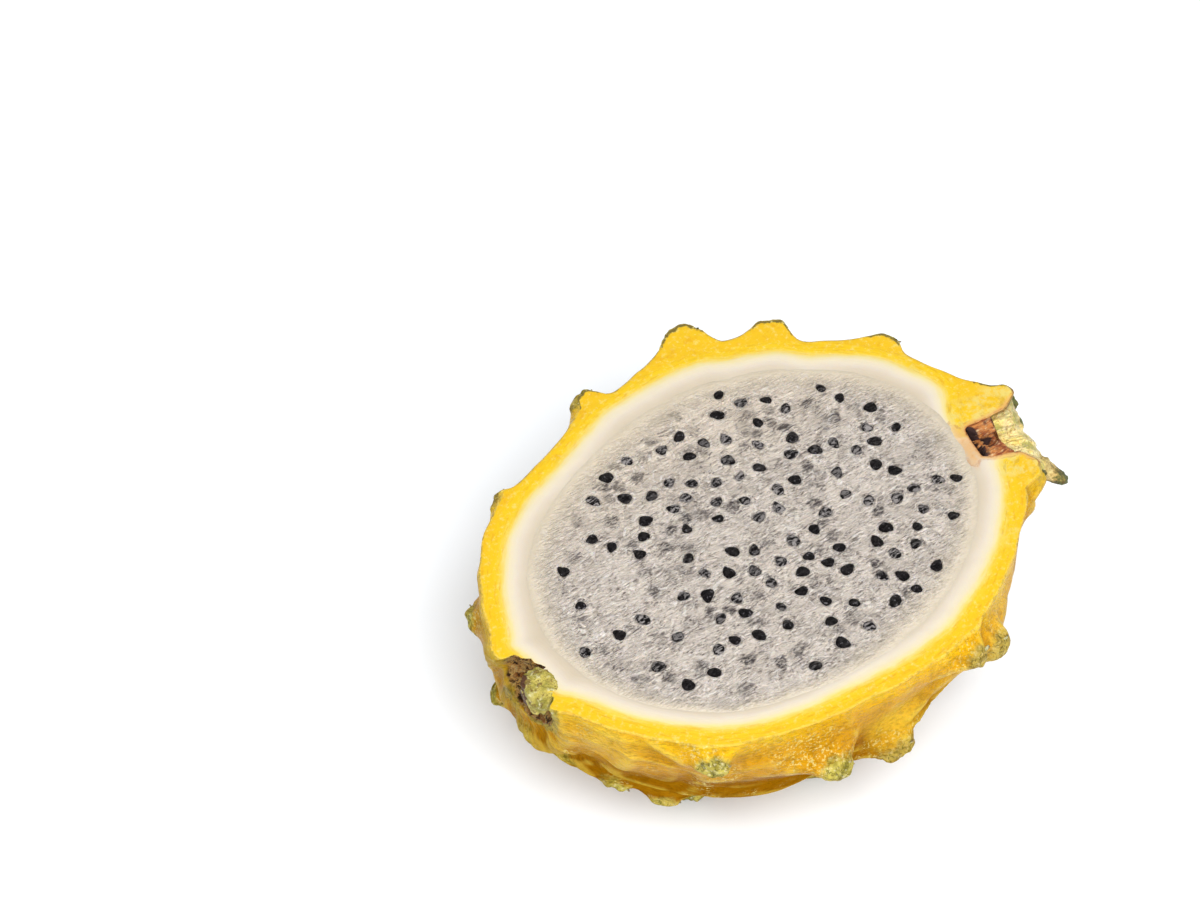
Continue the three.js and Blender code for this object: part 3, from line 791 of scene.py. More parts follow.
def seed_marks(plan, seeds, sunken):
    """What the seeds do to the flesh: how they raise it, and its masks of dark shade, of nearness and of the
    ring round each bare seed."""
    raised, shade, near, ring = np.zeros((4, *plan.shape[:-1]))
    for x, y, turn, size in seeds:
        deep = teardrop(plan, x, y, turn, SEEDS["length"] * size, SEEDS["width"] * size)
        raised += 0.14 * bell((deep + 0.35) / 0.3) - 0.25 * smooth((deep + 0.1) / 0.4)
        shade = np.maximum(shade, 0.4 * smooth((deep + 0.4) / 0.5))
        near = np.maximum(near, smooth((deep + 1.6) / 1.4))
        ring = np.maximum(ring, bell((deep + 0.28) / 0.14))
    for x, y, turn, depth in sunken:
        deep = teardrop(plan, x, y, turn, SUNKEN_SEEDS["length"], SUNKEN_SEEDS["width"])
        blur = 0.25 + 0.7 * depth
        shade = np.maximum(shade, (1.1 - 0.8 * depth) * smooth((deep + 0.5 * blur) / blur))
        raised += 0.08 * smooth((deep + 0.4) / 0.5)
        near = np.maximum(near, smooth((deep + 1.4) / 1.2))
    return raised, {"shade": shade, "near": near, "ring": ring}


def over_bowl(top, angle):
    """A square grid, and the flesh's bowl that closes it from below, ring by ring down to one point. Gives
    the points, the grid's own first, and the faces."""
    n = len(top)
    index = np.arange(n * n).reshape(n, n)
    cells = np.stack([index[:-1, :-1], index[1:, :-1], index[1:, 1:], index[:-1, 1:]], axis=-1)
    faces = cells.reshape(-1, 4).tolist()
    loop = np.concatenate([index[:-1, 0], index[-1, :-1], index[::-1][:-1, -1], index[0, ::-1][:-1]])
    below = np.radians([6, 24, 44, 64, 80])[:, None]
    bowl = layer_point(FLESH_RADII, FLESH_DEPTH, angle.ravel()[loop], below, BOWL_GAP)
    lowest = [[0, 0, CUT_HEIGHT - FLESH_DEPTH + BOWL_GAP]]
    points = np.concatenate([top.reshape(-1, 3), bowl.reshape(-1, 3), lowest])
    count = len(loop)
    rows = [loop] + [n * n + k * count + np.arange(count) for k in range(len(below))]
    for upper, lower in zip(rows[:-1], rows[1:]):
        faces += np.stack([upper, lower, np.roll(lower, -1), np.roll(upper, -1)], axis=-1).tolist()
    last = np.full(count, len(points) - 1)
    faces += np.stack([rows[-1], last, np.roll(rows[-1], -1)], axis=-1).tolist()
    return points, faces


def make_pulp(material, seeds, sunken, rim):
    """The flesh: a finely lumpy face with fibres, raised round each seed and feathered on to the pith at its
    edge, over a plain bowl that fills the wall."""
    share, angle = disc_grid(PULP_CELLS + 1)
    wander = 0.35 * fractal(stacked(*on_circle(angle, 30), 0), 3.0, 201, 3)
    edge = edge_radius(FLESH_RADII, angle) + 0.9 + wander
    plan = stacked(*on_circle(angle, share * edge), 0)
    grain = fibres(plan, 211)
    lumps = fractal(plan, 3.4, 221, 2)
    relief = 0.12 * grain + 0.12 * lumps + 0.10 * np.abs(fractal(plan, 0.9, 231, 2))
    raised, marks = seed_marks(plan, seeds, sunken)
    deep_in = (1 - share) * edge
    inner = smooth((deep_in - 1.3) / 2.6)
    top = plan.copy()
    top[..., 2] = (CUT_HEIGHT + mix(-0.06, 0.03, smooth(deep_in / 1.6))
                   + 0.9 * (relief + raised - 0.08) * inner)
    inset = np.full(share.shape, 12.0)
    outer = share > 0.75
    inset[outer] = thick_rind(near_curve(plan[outer], rim), angle[outer])
    points, faces = over_bowl(top, angle)
    spare = len(points) - share.size
    marks.update(grain=grain, deep_in=deep_in * (1 + thin_pith(angle)))
    attributes = {name: np.append(values.ravel(), np.zeros(spare)) for name, values in marks.items()}
    attributes["inset"] = np.append(inset.ravel(), np.full(spare, FAR))
    pulp = make_piece("pulp", points, faces, [material], attributes)
    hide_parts("flesh")


def make_seeds(material, seeds):
    """Bare seeds: domes on a teardrop outline, tilted a little, their lower half sunk in the flesh. Each is
    a stack of rings at the heights and shares of the seed's size below, with a point at either end."""
    ring = full_turn(16)
    levels = np.array([(-0.85, 0), (-0.7, 0.72), (-0.15, 0.98), (0.12, 0.97), (0.32, 0.80), (0.45, 0.48),
                       (SEEDS["stand"], 0)])
    z, share = levels.T[..., None]
    rows = len(levels) - 2
    random = np.random.RandomState(51)
    blocks, veils = [], []
    for x, y, turn, size in seeds:
        length, width = SEEDS["length"] * size / 2, SEEDS["width"] * size / 2
        tilt = random.uniform(-0.16, 0.16, 2)
        waves = random.uniform(-1, 1, 3)
        two, three = np.cos(2 * ring + 3 * waves[1]), np.cos(3 * ring + 5 * waves[0])
        bump = 1 + 0.12 * (waves[0] * two + waves[2] * three)
        bump = bump + 0.05 * waves[1] * np.cos(5 * ring + 4 * waves[2])
        down = random.uniform(0.0, 0.3)
        a = length * share * bump * np.cos(ring)
        b = width * share * bump * np.sin(ring) * (1 - 0.28 * np.cos(ring))
        px, py = turned(a, b, -turn)
        body = stacked(x + px, y + py, CUT_HEIGHT + z - down + a * tilt[0] + b * tilt[1])
        veils.append(np.full(rows * len(ring) + 2, float(smooth((random.uniform() - 0.35) / 0.5))))
        blocks.append(np.concatenate([body[1:-1].reshape(-1, 3), body[:1, 0], body[-1:, 0]]))
    points = np.concatenate(blocks)
    points[:, 2] = np.minimum(points[:, 2], SEED_TOP)
    return make_piece("seeds", points, many_tubes(len(seeds), rows, len(ring)), [material],
                      {"veil": np.concatenate(veils)})


# ---------------------------------------------------------------- scales

SKIM = 0.02                            # how far scales stay below the cut, and small ones above the floor

# The forms of a small dry scale and of a broad fleshy one. At a share t along it, the half width is
# a + bt - ct^n of its own, and the half thickness 1 - dt - et^5.
SLIM = {"rows": np.array([0.0, 0.12, 0.35, 0.6, 0.82, 0.97]), "ring": 10, "wide": (0.75, 0.9, 1.65, 2.2),
        "thick": (0.6, 0.0), "cup": 0.35, "tip": 1.02}
BROAD = {"rows": np.linspace(0, 0.97, 16), "ring": 20, "wide": (1.0, -0.15, 0.55, 5.0),
         "thick": (0.35, 0.3), "cup": -0.22, "tip": 1.0}


def leaf(form, root, forward, outward, length, width, thickness, curl, tail):
    """A scale: flat oval sections from its root to its tip, curling outwards with the square of the way along
    and cupped across. Gives its points, the two caps last, and how far along the scale each one lies."""
    t = form["rows"][:, None]
    turn = full_turn(form["ring"])
    a, b, c, n = form["wide"]
    d, e = form["thick"]
    side = width / 2 * (a + b * t - c * t ** n) * np.cos(turn)
    rise = thickness / 2 * (1 - d * t - e * t ** 5) * np.sin(turn)
    rise = rise + curl * length * t ** 2 - form["cup"] * side ** 2 / width
    points = (root + forward * (length * t + 0 * turn)[..., None] + outward * rise[..., None]
              + np.cross(outward, forward) * side[..., None])
    caps = [root - forward * tail, root + forward * length * form["tip"] + outward * curl * length]
    way = np.append(np.repeat(form["rows"], form["ring"]), [0.0, 1.0])
    return np.concatenate([points.reshape(-1, 3), caps]), way


def make_leaves(name, form, points, ways, material):
    faces = many_tubes(len(ways), len(form["rows"]), form["ring"])
    return make_piece(name, points, faces, [material], {"way": np.concatenate(ways)})


def make_scales(material):
    """Small dry scales on the tip of each tubercle, one to three lying forward over each other."""
    random = np.random.RandomState(61)
    bodies, ways = [], []
    for knob in KNOBS:
        if knob["below"] < 0.02 and knob["rise"] < 2:
            continue
        for turn in (-0.75, 0.15, 0.95):
            spin = turn + random.uniform(-0.25, 0.25)
            lean = random.uniform(0.0, 0.2)
            flat = knob["ahead"] * math.cos(spin) + knob["aside"] * math.sin(spin)
            forward = unit(flat + knob["out"] * lean)
            outward = unit(knob["out"] - forward * (knob["out"] @ forward))
            size = knob["width"] * random.uniform(0.8, 1.15)
            root = knob["at"] + flat * 0.9 * knob["width"] + knob["out"] * (0.93 * knob["rise"])
            body, way = leaf(SLIM, root, forward, outward, 2.3 * size, 2.6 * size, 0.7, 0.02, 0.115 * size)
            bodies.append(body)
            ways.append(way)
    points = np.concatenate(bodies)
    points = points + 0.16 * stacked(*(fractal(points, 1.1, 170 + k, 2) for k in range(3)))
    points[:, 2] = np.clip(points[:, 2], SKIM, CUT_HEIGHT - SKIM)
    return make_leaves("tubercle_scales", SLIM, points, ways, material)


# Scales on the crown's lip: angle about the axis, flare, length, width, thickness, curl.
CROWN_SCALES = [
    (22, 0.25, 2.4, 4.2, 0.9, 0.05), (50, 0.2, 2.2, 3.6, 0.8, 0.0), (78, 0.25, 2.5, 4.0, 0.9, 0.05),
    (104, 0.4, 3.0, 4.2, 1.2, 0.05), (125, 1.0, 5.7, 9.6, 3.8, 0.0), (158, 0.8, 2.6, 3.6, 1.0, 0.1),
]


def make_crown_scales(material):
    """Scales on the crown's lip, the widest curling away below the cut."""
    bodies, ways = [], []
    for index, (angle, flare, length, width, thick, curl) in enumerate(CROWN_SCALES):
        turn = np.array(math.radians(angle))
        outward = ACROSS * math.cos(turn) - np.array([0, 0, math.sin(turn)])
        forward = unit(AXIS + outward * flare)
        root = about_axis(lip_along(turn) - 1.9, np.array(7.9), turn)
        away = unit(outward - forward * (outward @ forward))
        body, way = leaf(BROAD, root, forward, away, length, width, thick, curl, 0.3)
        rough = 0.35 * stacked(*(fractal(body + 20 * index, 1.5, 180 + k, 3) for k in range(3)))
        bodies.append(body + rough)
        ways.append(way)
    points = np.concatenate(bodies)
    points[:, 2] = np.minimum(points[:, 2], CUT_HEIGHT - SKIM)
    return make_leaves("crown_scales", BROAD, points, ways, material)


def make_scar_cork(material):
    """Corky lump that the stem left: an egg roughened by two noises, its top pressed to just above the
    cut."""
    rows, ring = 44, 80
    tilt = np.linspace(0, np.pi, rows + 2)[1:-1, None]
    spin = full_turn(ring)
    ball = stacked(np.sin(tilt) * np.cos(spin), np.sin(tilt) * np.sin(spin), np.cos(tilt) + 0 * spin)
    ball = np.concatenate([ball.reshape(-1, 3), [[0, 0, 1], [0, 0, -1]]])
    size = 1 + 0.14 * fractal(ball, 0.7, 191, 2) + 0.15 * np.abs(fractal(ball, 0.4, 193, 3))
    points = np.array(SCAR_CORK["at"]) + np.array(SCAR_CORK["reach"]) * ball * size[:, None]
    sides = (ball @ CRUST_AND_SHADE_SIDES.T).max(axis=1)
    crust = smooth((sides + 0.25 * fractal(points, 1.0, 195, 2) - 0.62) / 0.25)
    pressed_from, give = CUT_HEIGHT - 0.4, 0.55
    above = np.maximum(points[:, 2] - pressed_from, 0)
    points[:, 2] = np.minimum(points[:, 2], pressed_from + give * (1 - np.exp(-above / give)))
    faces = [face[::-1] for face in tube_faces(rows, ring)]
    return make_piece("scar_cork", points, faces, [material], {"crust": crust})


# ---------------------------------------------------------------- flower remnant

REMNANT = {"columns": 96, "rows": 46, "start": 0.5, "end": 5.9, "side_gap": 0.05, "thickness": 2.1,
           "least": 0.12, "sunk": 0.25}
HOLLOW_WALL = [(0.7, 3.7), (5.0, 4.4), (10.0, 4.7)]           # length along the hollow's axis, and radius


def make_remnant(material):
    """The dry remnant of the flower: a half tube lining the hollow, its inside torn into long fibres and
    lumps by two noises drawn out along the axis."""
    arc = np.linspace(REMNANT["side_gap"], math.pi - REMNANT["side_gap"], REMNANT["columns"])
    along = np.linspace(REMNANT["start"], REMNANT["end"], REMNANT["rows"])[:, None]
    wall = np.interp(along, *zip(*HOLLOW_WALL))
    grain = fractal(stacked(along * 0.6, *on_circle(arc, 7)), 0.9, 301, 3)
    lumps = fractal(stacked(along, *on_circle(arc, 4)), 1.7, 311, 2)
    thick = REMNANT["thickness"] + 0.6 * lumps + 0.6 * grain
    thick = thick * smooth((along - 0.3) / 1.5) * smooth((6.2 - along) / 1.2)
    thick = thick * smooth(np.sin(arc) * 5 + 0.25) + REMNANT["least"]
    turns = np.broadcast_to(arc, thick.shape)
    # Painted shadow towards the hollow's inner end.
    dark = 1.2 * smooth((1.9 - along + 0.4 * grain) / 0.8)
    inside = about_axis(along + 0.15 * grain, wall - thick, turns)
    outside = about_axis(along + 0 * thick, wall + REMNANT["sunk"] + 0 * thick, turns)
    inside[..., 2] = np.minimum(inside[..., 2], CUT_HEIGHT - 0.05)
    outside[..., 2] = np.minimum(outside[..., 2], CUT_HEIGHT - 0.05)
    loops = np.concatenate([inside, outside[:, ::-1]], axis=1)
    ring = loops.shape[1]
    caps = [loops[0].mean(axis=0), loops[-1].mean(axis=0)]
    points = np.concatenate([loops.reshape(-1, 3), caps])
    lumps_less_shadow = np.concatenate([lumps - dark, 0 * lumps], axis=1).ravel()
    remnant = make_piece("flower_fibres", points, tube_faces(REMNANT["rows"], ring), [material],
                         {"lumps": np.append(lumps_less_shadow, [0, 0])})
    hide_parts("flower_remnant")


# ---------------------------------------------------------------- nodes


def linear(colour):
    """A colour given as eight-bit screen values, as the linear values that sockets take."""
    c = np.array(colour, float) / 255
    return (*np.where(c <= 0.04045, c / 12.92, ((c + 0.055) / 1.055) ** 2.4), 1.0)


class Look:
    """A node tree in the making, with the place in millimetres that its patterns read and the colour that it
    has so far. Values are numbers or sockets, and colours are screen colours or sockets."""

    def __init__(self, tree, place=None, stretch=(1, 1, 1)):
        self.tree = tree
        self.place = self.placed(stretch) if place is None else place
        self.colour = None

    def fill(self, node, inputs, output):
        """Sets a plain value on its socket and links a socket to it. Gives an output socket."""
        for key, value in inputs.items():
            if isinstance(value, bpy.types.NodeSocket):
                self.tree.links.new(value, node.inputs[key])
            else:
                node.inputs[key].default_value = value
        return node.outputs[output]

    def add(self, kind, inputs=None, output=0, **settings):
        node = self.tree.nodes.new("ShaderNode" + kind)
        for key, value in settings.items():
            setattr(node, key, value)
        return self.fill(node, inputs or {}, output)

    def grouped(self, name, inputs, output=0):
        """Places a node group."""
        node = self.tree.nodes.new("ShaderNodeGroup")
        node.node_tree = bpy.data.node_groups[name]
        return self.fill(node, inputs, output)

    def times(self, a, b, clamp=False):
        return self.add("Math", {0: a, 1: b}, operation="MULTIPLY", use_clamp=clamp)

    def plus(self, a, b):
        return self.add("Math", {0: a, 1: b}, operation="ADD")

    def less(self, a, b):
        return self.add("Math", {0: a, 1: b}, operation="SUBTRACT")

    def apart(self, a, b):
        """How far apart two values are."""
        return self.add("Math", {0: self.less(a, b)}, operation="ABSOLUTE")

    def centred(self, value, share):
        """A noise's distance from its middle value, times a share."""
        return self.times(self.less(value, 0.5), share)

    def ranged(self, value, low, high, end=1.0, start=0.0):
        """From start where a value is low to end where it is high, smoothly, and held at both."""
        return self.add("MapRange", {"Value": value, "From Min": low, "From Max": high, "To Min": start,
                                     "To Max": end}, interpolation_type="SMOOTHSTEP")

    def blended(self, factor, a, b):
        """Mix of two values."""
        return self.add("Mix", {0: factor, 2: a, 3: b}, 0, data_type="FLOAT")

    def mixed(self, factor, a, b, blend="MIX"):
        """Mix of two colours."""
        a, b = (self.as_colour(colour) for colour in (a, b))
        return self.add("Mix", {0: factor, 6: a, 7: b}, 2, data_type="RGBA", blend_type=blend)

    def as_colour(self, colour):
        return colour if isinstance(colour, bpy.types.NodeSocket) else linear(colour)

    def paint(self, factor, colour, blend="MIX"):
        """Lays another colour over the one that the look has so far."""
        self.colour = self.mixed(factor, self.colour, colour, blend)

    def ramp(self, factor, stops):
        """Colours at places along a factor, with straight changes between them."""
        socket = self.add("ValToRGB", {0: factor})
        elements = socket.node.color_ramp.elements
        while len(elements) < len(stops):
            elements.new(1.0)
        for element, (place, colour) in zip(elements, stops):
            element.position = place
            element.color = linear(colour)
        return socket

    def mask(self, name):
        """One of the masks that a piece's mesh carries."""
        return self.add("Attribute", output=2, attribute_name=name)

    def placed(self, stretch=(1, 1, 1)):
        """Object coordinates in millimetres, stretched by a share on each axis."""
        here = self.add("TexCoord", output=3)
        return self.add("VectorMath", {0: here, 1: tuple(s / MM for s in stretch)}, operation="MULTIPLY")

    def along(self, axis):
        """The place's length along one axis."""
        return self.add("SeparateXYZ", {0: self.place}, axis)

    def streaked(self, fast, slow_share=0.16):
        """Coordinates for streaks that run lengthwise: one value as it is, and X and Y much drawn out."""
        drawn = self.placed((slow_share,) * 3)
        x, y = (self.add("SeparateXYZ", {0: drawn}, axis) for axis in (0, 1))
        return self.add("CombineXYZ", {0: fast, 1: x, 2: y})

    def speckle(self, scale, detail=3.0, roughness=0.55, distortion=0.0, at=None):
        """Noise from 0 to 1."""
        at = self.place if at is None else at
        return self.add("TexNoise", {"Vector": at, "Scale": scale, "Detail": detail, "Roughness": roughness,
                                     "Distortion": distortion})

    def ragged(self, name, share, scale, detail=4.0, roughness=0.7):
        """A mask plus a share of a noise, so that a border along it is ragged."""
        return self.plus(self.mask(name), self.times(self.speckle(scale, detail, roughness), share))

    def mottled(self, colour, patches, flecks, scales, shares, at=None):
        """The mottle of three colours, with the scales and the shares of its patches and its flecks."""
        colours = zip(("Colour", "Patches", "Flecks"), (colour, patches, flecks))
        inputs = {key: self.as_colour(value) for key, value in colours}
        inputs.update(zip(("Patch Scale", "Fleck Scale", "Patch Share", "Fleck Share"), (*scales, *shares)))
        inputs["Place"] = self.place if at is None else at
        return self.grouped("Mottle", inputs)

    def finish(self, inputs, height, distance, strength=1.0, shade=1.0):
        """The Principled shader and the output, with the colour toned down by a shade and a bump from a
        height in shares of a distance."""
        grey = (shade, shade, shade, 1)
        toned = self.add("Mix", {0: 1.0, 6: self.colour, 7: grey}, 2, data_type="RGBA", blend_type="MULTIPLY")
        bump = self.add("Bump", {"Height": height, "Distance": distance, "Strength": strength})
        shader = self.add("BsdfPrincipled", {"Base Color": toned, "Normal": bump, **inputs},
                          subsurface_method="RANDOM_WALK")
        self.tree.links.new(shader, self.tree.nodes.new("ShaderNodeOutputMaterial").inputs["Surface"])


def start_material(name, stretch=(1, 1, 1)):
    """An empty material and its look."""
    material = bpy.data.materials.new(name)
    material.use_nodes = True
    material.node_tree.nodes.clear()
    return material, Look(material.node_tree, stretch=stretch)


def glow(radius, scale):
    """Light that goes a little way under the surface."""
    return {"Subsurface Weight": 0.15, "Subsurface Radius": radius, "Subsurface Scale": scale}


def new_group(name, inputs, outputs):
    """An empty node group. An input is given by its first value: a colour of four numbers, a place of three,
    or a number. Gives the group's look, its input sockets and its output node's sockets."""
    tree = bpy.data.node_groups.new(name, "ShaderNodeTree")
    kinds = {4: "NodeSocketColor", 3: "NodeSocketVector", 1: "NodeSocketFloat"}
    for label, value in inputs.items():
        socket = tree.interface.new_socket(label, in_out="INPUT", socket_type=kinds[np.size(value)])
        socket.default_value = value
    for label in outputs:
        kind = kinds[4] if label == "Colour" else kinds[1]
        tree.interface.new_socket(label, in_out="OUTPUT", socket_type=kind)
    given = tree.nodes.new("NodeGroupInput").outputs
    look = Look(tree, given["Place"] if "Place" in inputs else None)
    return look, given, tree.nodes.new("NodeGroupOutput").inputs


def mottle_group():
    """Mottle: a colour drifts to a second one in soft patches and to a third one in fine flecks."""
    white = (1, 1, 1, 1)
    look, given, result = new_group(
        "Mottle", {"Colour": white, "Patches": white, "Flecks": white, "Place": (0, 0, 0), "Patch Scale": 0.1,
                   "Fleck Scale": 1.0, "Patch Share": 0.5, "Fleck Share": 0.3}, ["Colour"])
    patch = look.ranged(look.speckle(given["Patch Scale"]), 0.38, 0.66)
    fleck = look.ranged(look.speckle(given["Fleck Scale"], 4.0, 0.65), 0.5, 0.72)
    look.colour = given["Colour"]
    look.paint(look.times(patch, given["Patch Share"]), given["Patches"])
    look.paint(look.times(fleck, given["Fleck Share"]), given["Flecks"])
    look.tree.links.new(look.colour, result["Colour"])


def grain_group():
    """Grain: height from fine lines drawn out along X, and from pores."""
    look, given, result = new_group(
        "Grain", {"Place": (0, 0, 0), "Line Scale": 1.0, "Pore Scale": 2.0, "Line Share": 0.5}, ["Height"])
    stretched = look.add("VectorMath", {0: look.place, 1: (0.16, 1.0, 1.0)}, operation="MULTIPLY")
    lines = look.speckle(given["Line Scale"], 4.0, 0.6, 0.4, at=stretched)
    pores = look.speckle(given["Pore Scale"], 3.0, 0.6)
    look.tree.links.new(look.blended(given["Line Share"], pores, lines), result["Height"])


def cork_group():
    """Cork: pale yellow-green tissue with white flecks and brown pits."""
    look, _, result = new_group("Cork", {"Place": (0, 0, 0)}, ["Colour"])
    look.colour = look.mottled((214, 196, 92), (160, 150, 52), (250, 244, 190), (0.5, 0.9), (1.0, 0.9))
    look.paint(look.ranged(look.speckle(0.7, 5.0, 0.8), 0.53, 0.6, 0.8), (118, 84, 26))
    look.tree.links.new(look.colour, result["Colour"])


def thread_group():
    """Threads: fine pale strands over darker gaps, running three ways that take turns over the flesh."""
    look, given, result = new_group("Threads", {"Place": (0, 0, 0), "Scale": 1.5}, ["Strength"])
    ways = []
    for turn in (0.4, 1.5, 2.5):
        turned = look.add("Mapping", {"Vector": look.place, "Rotation": (0, 0, turn), "Scale": (0.3, 1, 1)})
        ways.append(look.speckle(given["Scale"], 4.0, 0.65, 0.8, at=turned))
    patch = look.speckle(0.22, 2.0)
    first = look.blended(look.ranged(patch, 0.44, 0.5), ways[0], ways[1])
    both = look.blended(look.ranged(patch, 0.52, 0.58), first, ways[2])
    look.tree.links.new(both, result["Strength"])


def rind_group():
    """Rind: the cut wall's colour at a depth in mm under the skin, from yellow through cream to the pulp's,
    with the height of its fine lines, which keep level with the rim."""
    look, given, result = new_group("Rind", {"Depth": 5.0}, ["Colour", "Lines"])
    depth = given["Depth"]
    wander = look.centred(look.speckle(0.12), 1.3)
    lines = look.speckle(1.3, 4.0, 0.65, at=look.streaked(depth))
    spread = look.centred(lines, look.ranged(depth, 2.5, 4.5, 0.4, 2.0))
    depth = look.plus(look.plus(depth, wander), spread)
    bands = look.ramp(look.times(depth, 0.1, True), [
        (0.0, (248, 200, 24)), (0.06, (249, 205, 22)), (0.15, (250, 206, 20)), (0.22, (250, 210, 44)),
        (0.28, (249, 218, 100)), (0.34, (247, 229, 160)), (0.42, (243, 230, 196)), (0.50, (240, 228, 204)),
        (0.57, (234, 221, 202)), (0.66, (226, 212, 190)), (0.77, (219, 204, 180)), (1.0, (209, 195, 172))])
    look.tree.links.new(bands, result["Colour"])
    calm = look.ranged(depth, 2.6, 4.0, 0.25, 1.0)
    look.tree.links.new(look.times(lines, calm), result["Lines"])


# ---------------------------------------------------------------- materials


def paint_yellow(look, height_up, drawn):
    """Skin yellow and pale dots, with painted shade that browns it low down, in creases and in patches, and
    painted highlights at the rim, on ridges and in patches.
    """
    look.colour = look.mottled((248, 190, 2), (255, 210, 24), (228, 152, 4), (0.22, 0.9), (0.7, 0.5), drawn)
    # Painted shade: the yellow deepens going down from the rim.
    look.paint(look.ranged(height_up, 40.0, 35.5, 0.9), (220, 156, 0))
    painted_light_and_shade = look.mask("painted_light_and_shade")
    # Painted shade low on the back, stronger towards -Y; the painted-light patches lift it and the shaded
    # patches deepen it.
    side = look.ranged(look.along(1), 8.0, -10.0, 1.0, 0.4)
    low = look.times(look.ranged(height_up, 31.5, 25.5), look.less(side, painted_light_and_shade))
    look.paint(low, (166, 108, 6))
    # Painted light: paler yellow on the tubercles' sides.
    look.paint(look.times(painted_light_and_shade, 0.75), (255, 208, 66))
    # Painted highlight along the rounded rim of the cut.
    look.paint(look.ranged(height_up, 40.4, 40.95, 0.5), (255, 226, 110))
    crease = look.mask("crease")
    # Painted shade in creases, and painted highlights on ridges.
    look.paint(look.ranged(crease, 0.0, 0.35, 0.4), (206, 146, 22))
    look.paint(look.ranged(crease, -0.02, -0.3, 0.45), (255, 220, 84))
    clusters = look.ranged(look.plus(look.speckle(0.15, 2.0), look.mask("foot")), 0.50, 0.70)
    dots = look.ranged(look.speckle(2.0, 2.0, 0.6), 0.53, 0.62, 0.65)
    look.paint(look.times(clusters, dots), (255, 238, 150))


def paint_tissue(look, tip):
    """Cracked green tissue on the tubercles, with brown spots at their tips, and olive tissue in places."""
    cracks = look.ranged(look.apart(look.speckle(0.45, 3.0, 0.6, 1.0), 0.5), 0.03, 0.008, 0.7)
    green = look.mottled((216, 200, 94), (136, 124, 38), (250, 240, 186), (0.45, 1.2), (0.9, 0.9))
    green = look.mixed(look.ranged(look.speckle(0.06, 1.0), 0.46, 0.56, 0.6), green, (206, 170, 78))
    green = look.mixed(cracks, green, (88, 80, 22))
    look.paint(look.ranged(look.ragged("tip", 1.0, 0.7, 5.0, 0.75), 0.85, 1.5), green)
    spots = look.ranged(look.speckle(1.1, 4.0, 0.7), 0.6, 0.72)
    look.paint(look.times(spots, look.ranged(tip, 0.5, 0.9)), (104, 72, 34))
    olive = look.mottled((220, 190, 74), (152, 128, 36), (250, 224, 126), (0.4, 1.2), (0.9, 0.7))
    olive = look.mixed(cracks, olive, (96, 82, 26))
    look.paint(look.ranged(look.ragged("olive", 1.2, 0.5), 0.95, 1.45), olive)


def paint_scar(look, scar, crust):
    """The stem's scar: brown with dark and pale crusts, and pale cork on its lump."""
    brown = look.mottled((246, 190, 110), (176, 110, 50), (255, 230, 150), (0.6, 1.1), (1.0, 0.8))
    brown = look.mixed(look.ranged(crust, 0.50, 0.56, 0.95), brown, (58, 32, 12))
    brown = look.mixed(look.ranged(crust, 0.44, 0.38, 0.8), brown, (255, 236, 170))
    look.paint(scar, brown)
    # Tones down every colour so far; the crown's colours, laid on after this, stay lighter: painted light on
    # the crown, which lies in shade.
    look.paint(1.0, (222, 222, 222), "MULTIPLY")
    cork = look.grouped("Cork", {"Place": look.place})
    look.paint(look.ranged(look.ragged("lump", 0.6, 0.8), 0.6, 1.0), cork)


def paint_crown(look):
    """The crown's cut wall, cream with brown veins and green patches, its brown brink, and its hollow,
    lighter than the toned-down skin: painted light on the shaded crown.
    """
    wall = look.mottled((250, 232, 170), (240, 212, 112), (202, 184, 90), (0.35, 0.9), (0.8, 0.6))
    veins = look.apart(look.speckle(0.3, 3.0, 0.6, 1.0), 0.5)
    wall = look.mixed(look.ranged(veins, 0.025, 0.006, 0.6), wall, (176, 122, 56))
    wall = look.mixed(look.ranged(look.speckle(0.28), 0.52, 0.6, 0.8), wall, (186, 178, 88))
    look.paint(look.mask("lip"), wall)
    look.paint(look.times(look.mask("brink"), 0.75), (168, 114, 52))
    hollow = look.mottled((216, 138, 74), (156, 80, 36), (244, 200, 136), (0.5, 1.2), (0.7, 0.6))
    look.paint(look.ranged(look.mask("hollow"), 0.3, 0.8), hollow)


def skin_material():
    material, look = start_material("yellow_skin")
    drawn = look.streaked(look.mask("arc"), 0.5)
    height_up = look.along(2)
    tip = look.mask("tip")
    scar = look.ranged(look.ragged("scar", 0.8, 0.4), 0.75, 1.15)
    crust = look.speckle(0.75, 5.0, 0.8)
    paint_yellow(look, height_up, drawn)
    paint_tissue(look, tip)
    paint_scar(look, scar, crust)
    paint_crown(look)
    lines = look.grouped("Grain", {"Place": drawn, "Line Scale": 1.2, "Pore Scale": 1.8, "Line Share": 0.4})
    # Painted shade: darker down in the grain's lines and pores.
    look.paint(1.0, look.ranged(lines, 0.4, 0.53, 1.0, 0.76), "MULTIPLY")
    pitted = look.times(look.times(scar, crust), -2.0)
    look.finish({"Roughness": look.ranged(tip, 0.2, 0.8, 0.7, 0.3),
                 "Specular IOR Level": look.ranged(height_up, 24.0, 35.0, 0.1),
                 **glow((1.0, 0.5, 0.1), 0.0015)}, look.plus(lines, pitted), 0.0010)
    return material


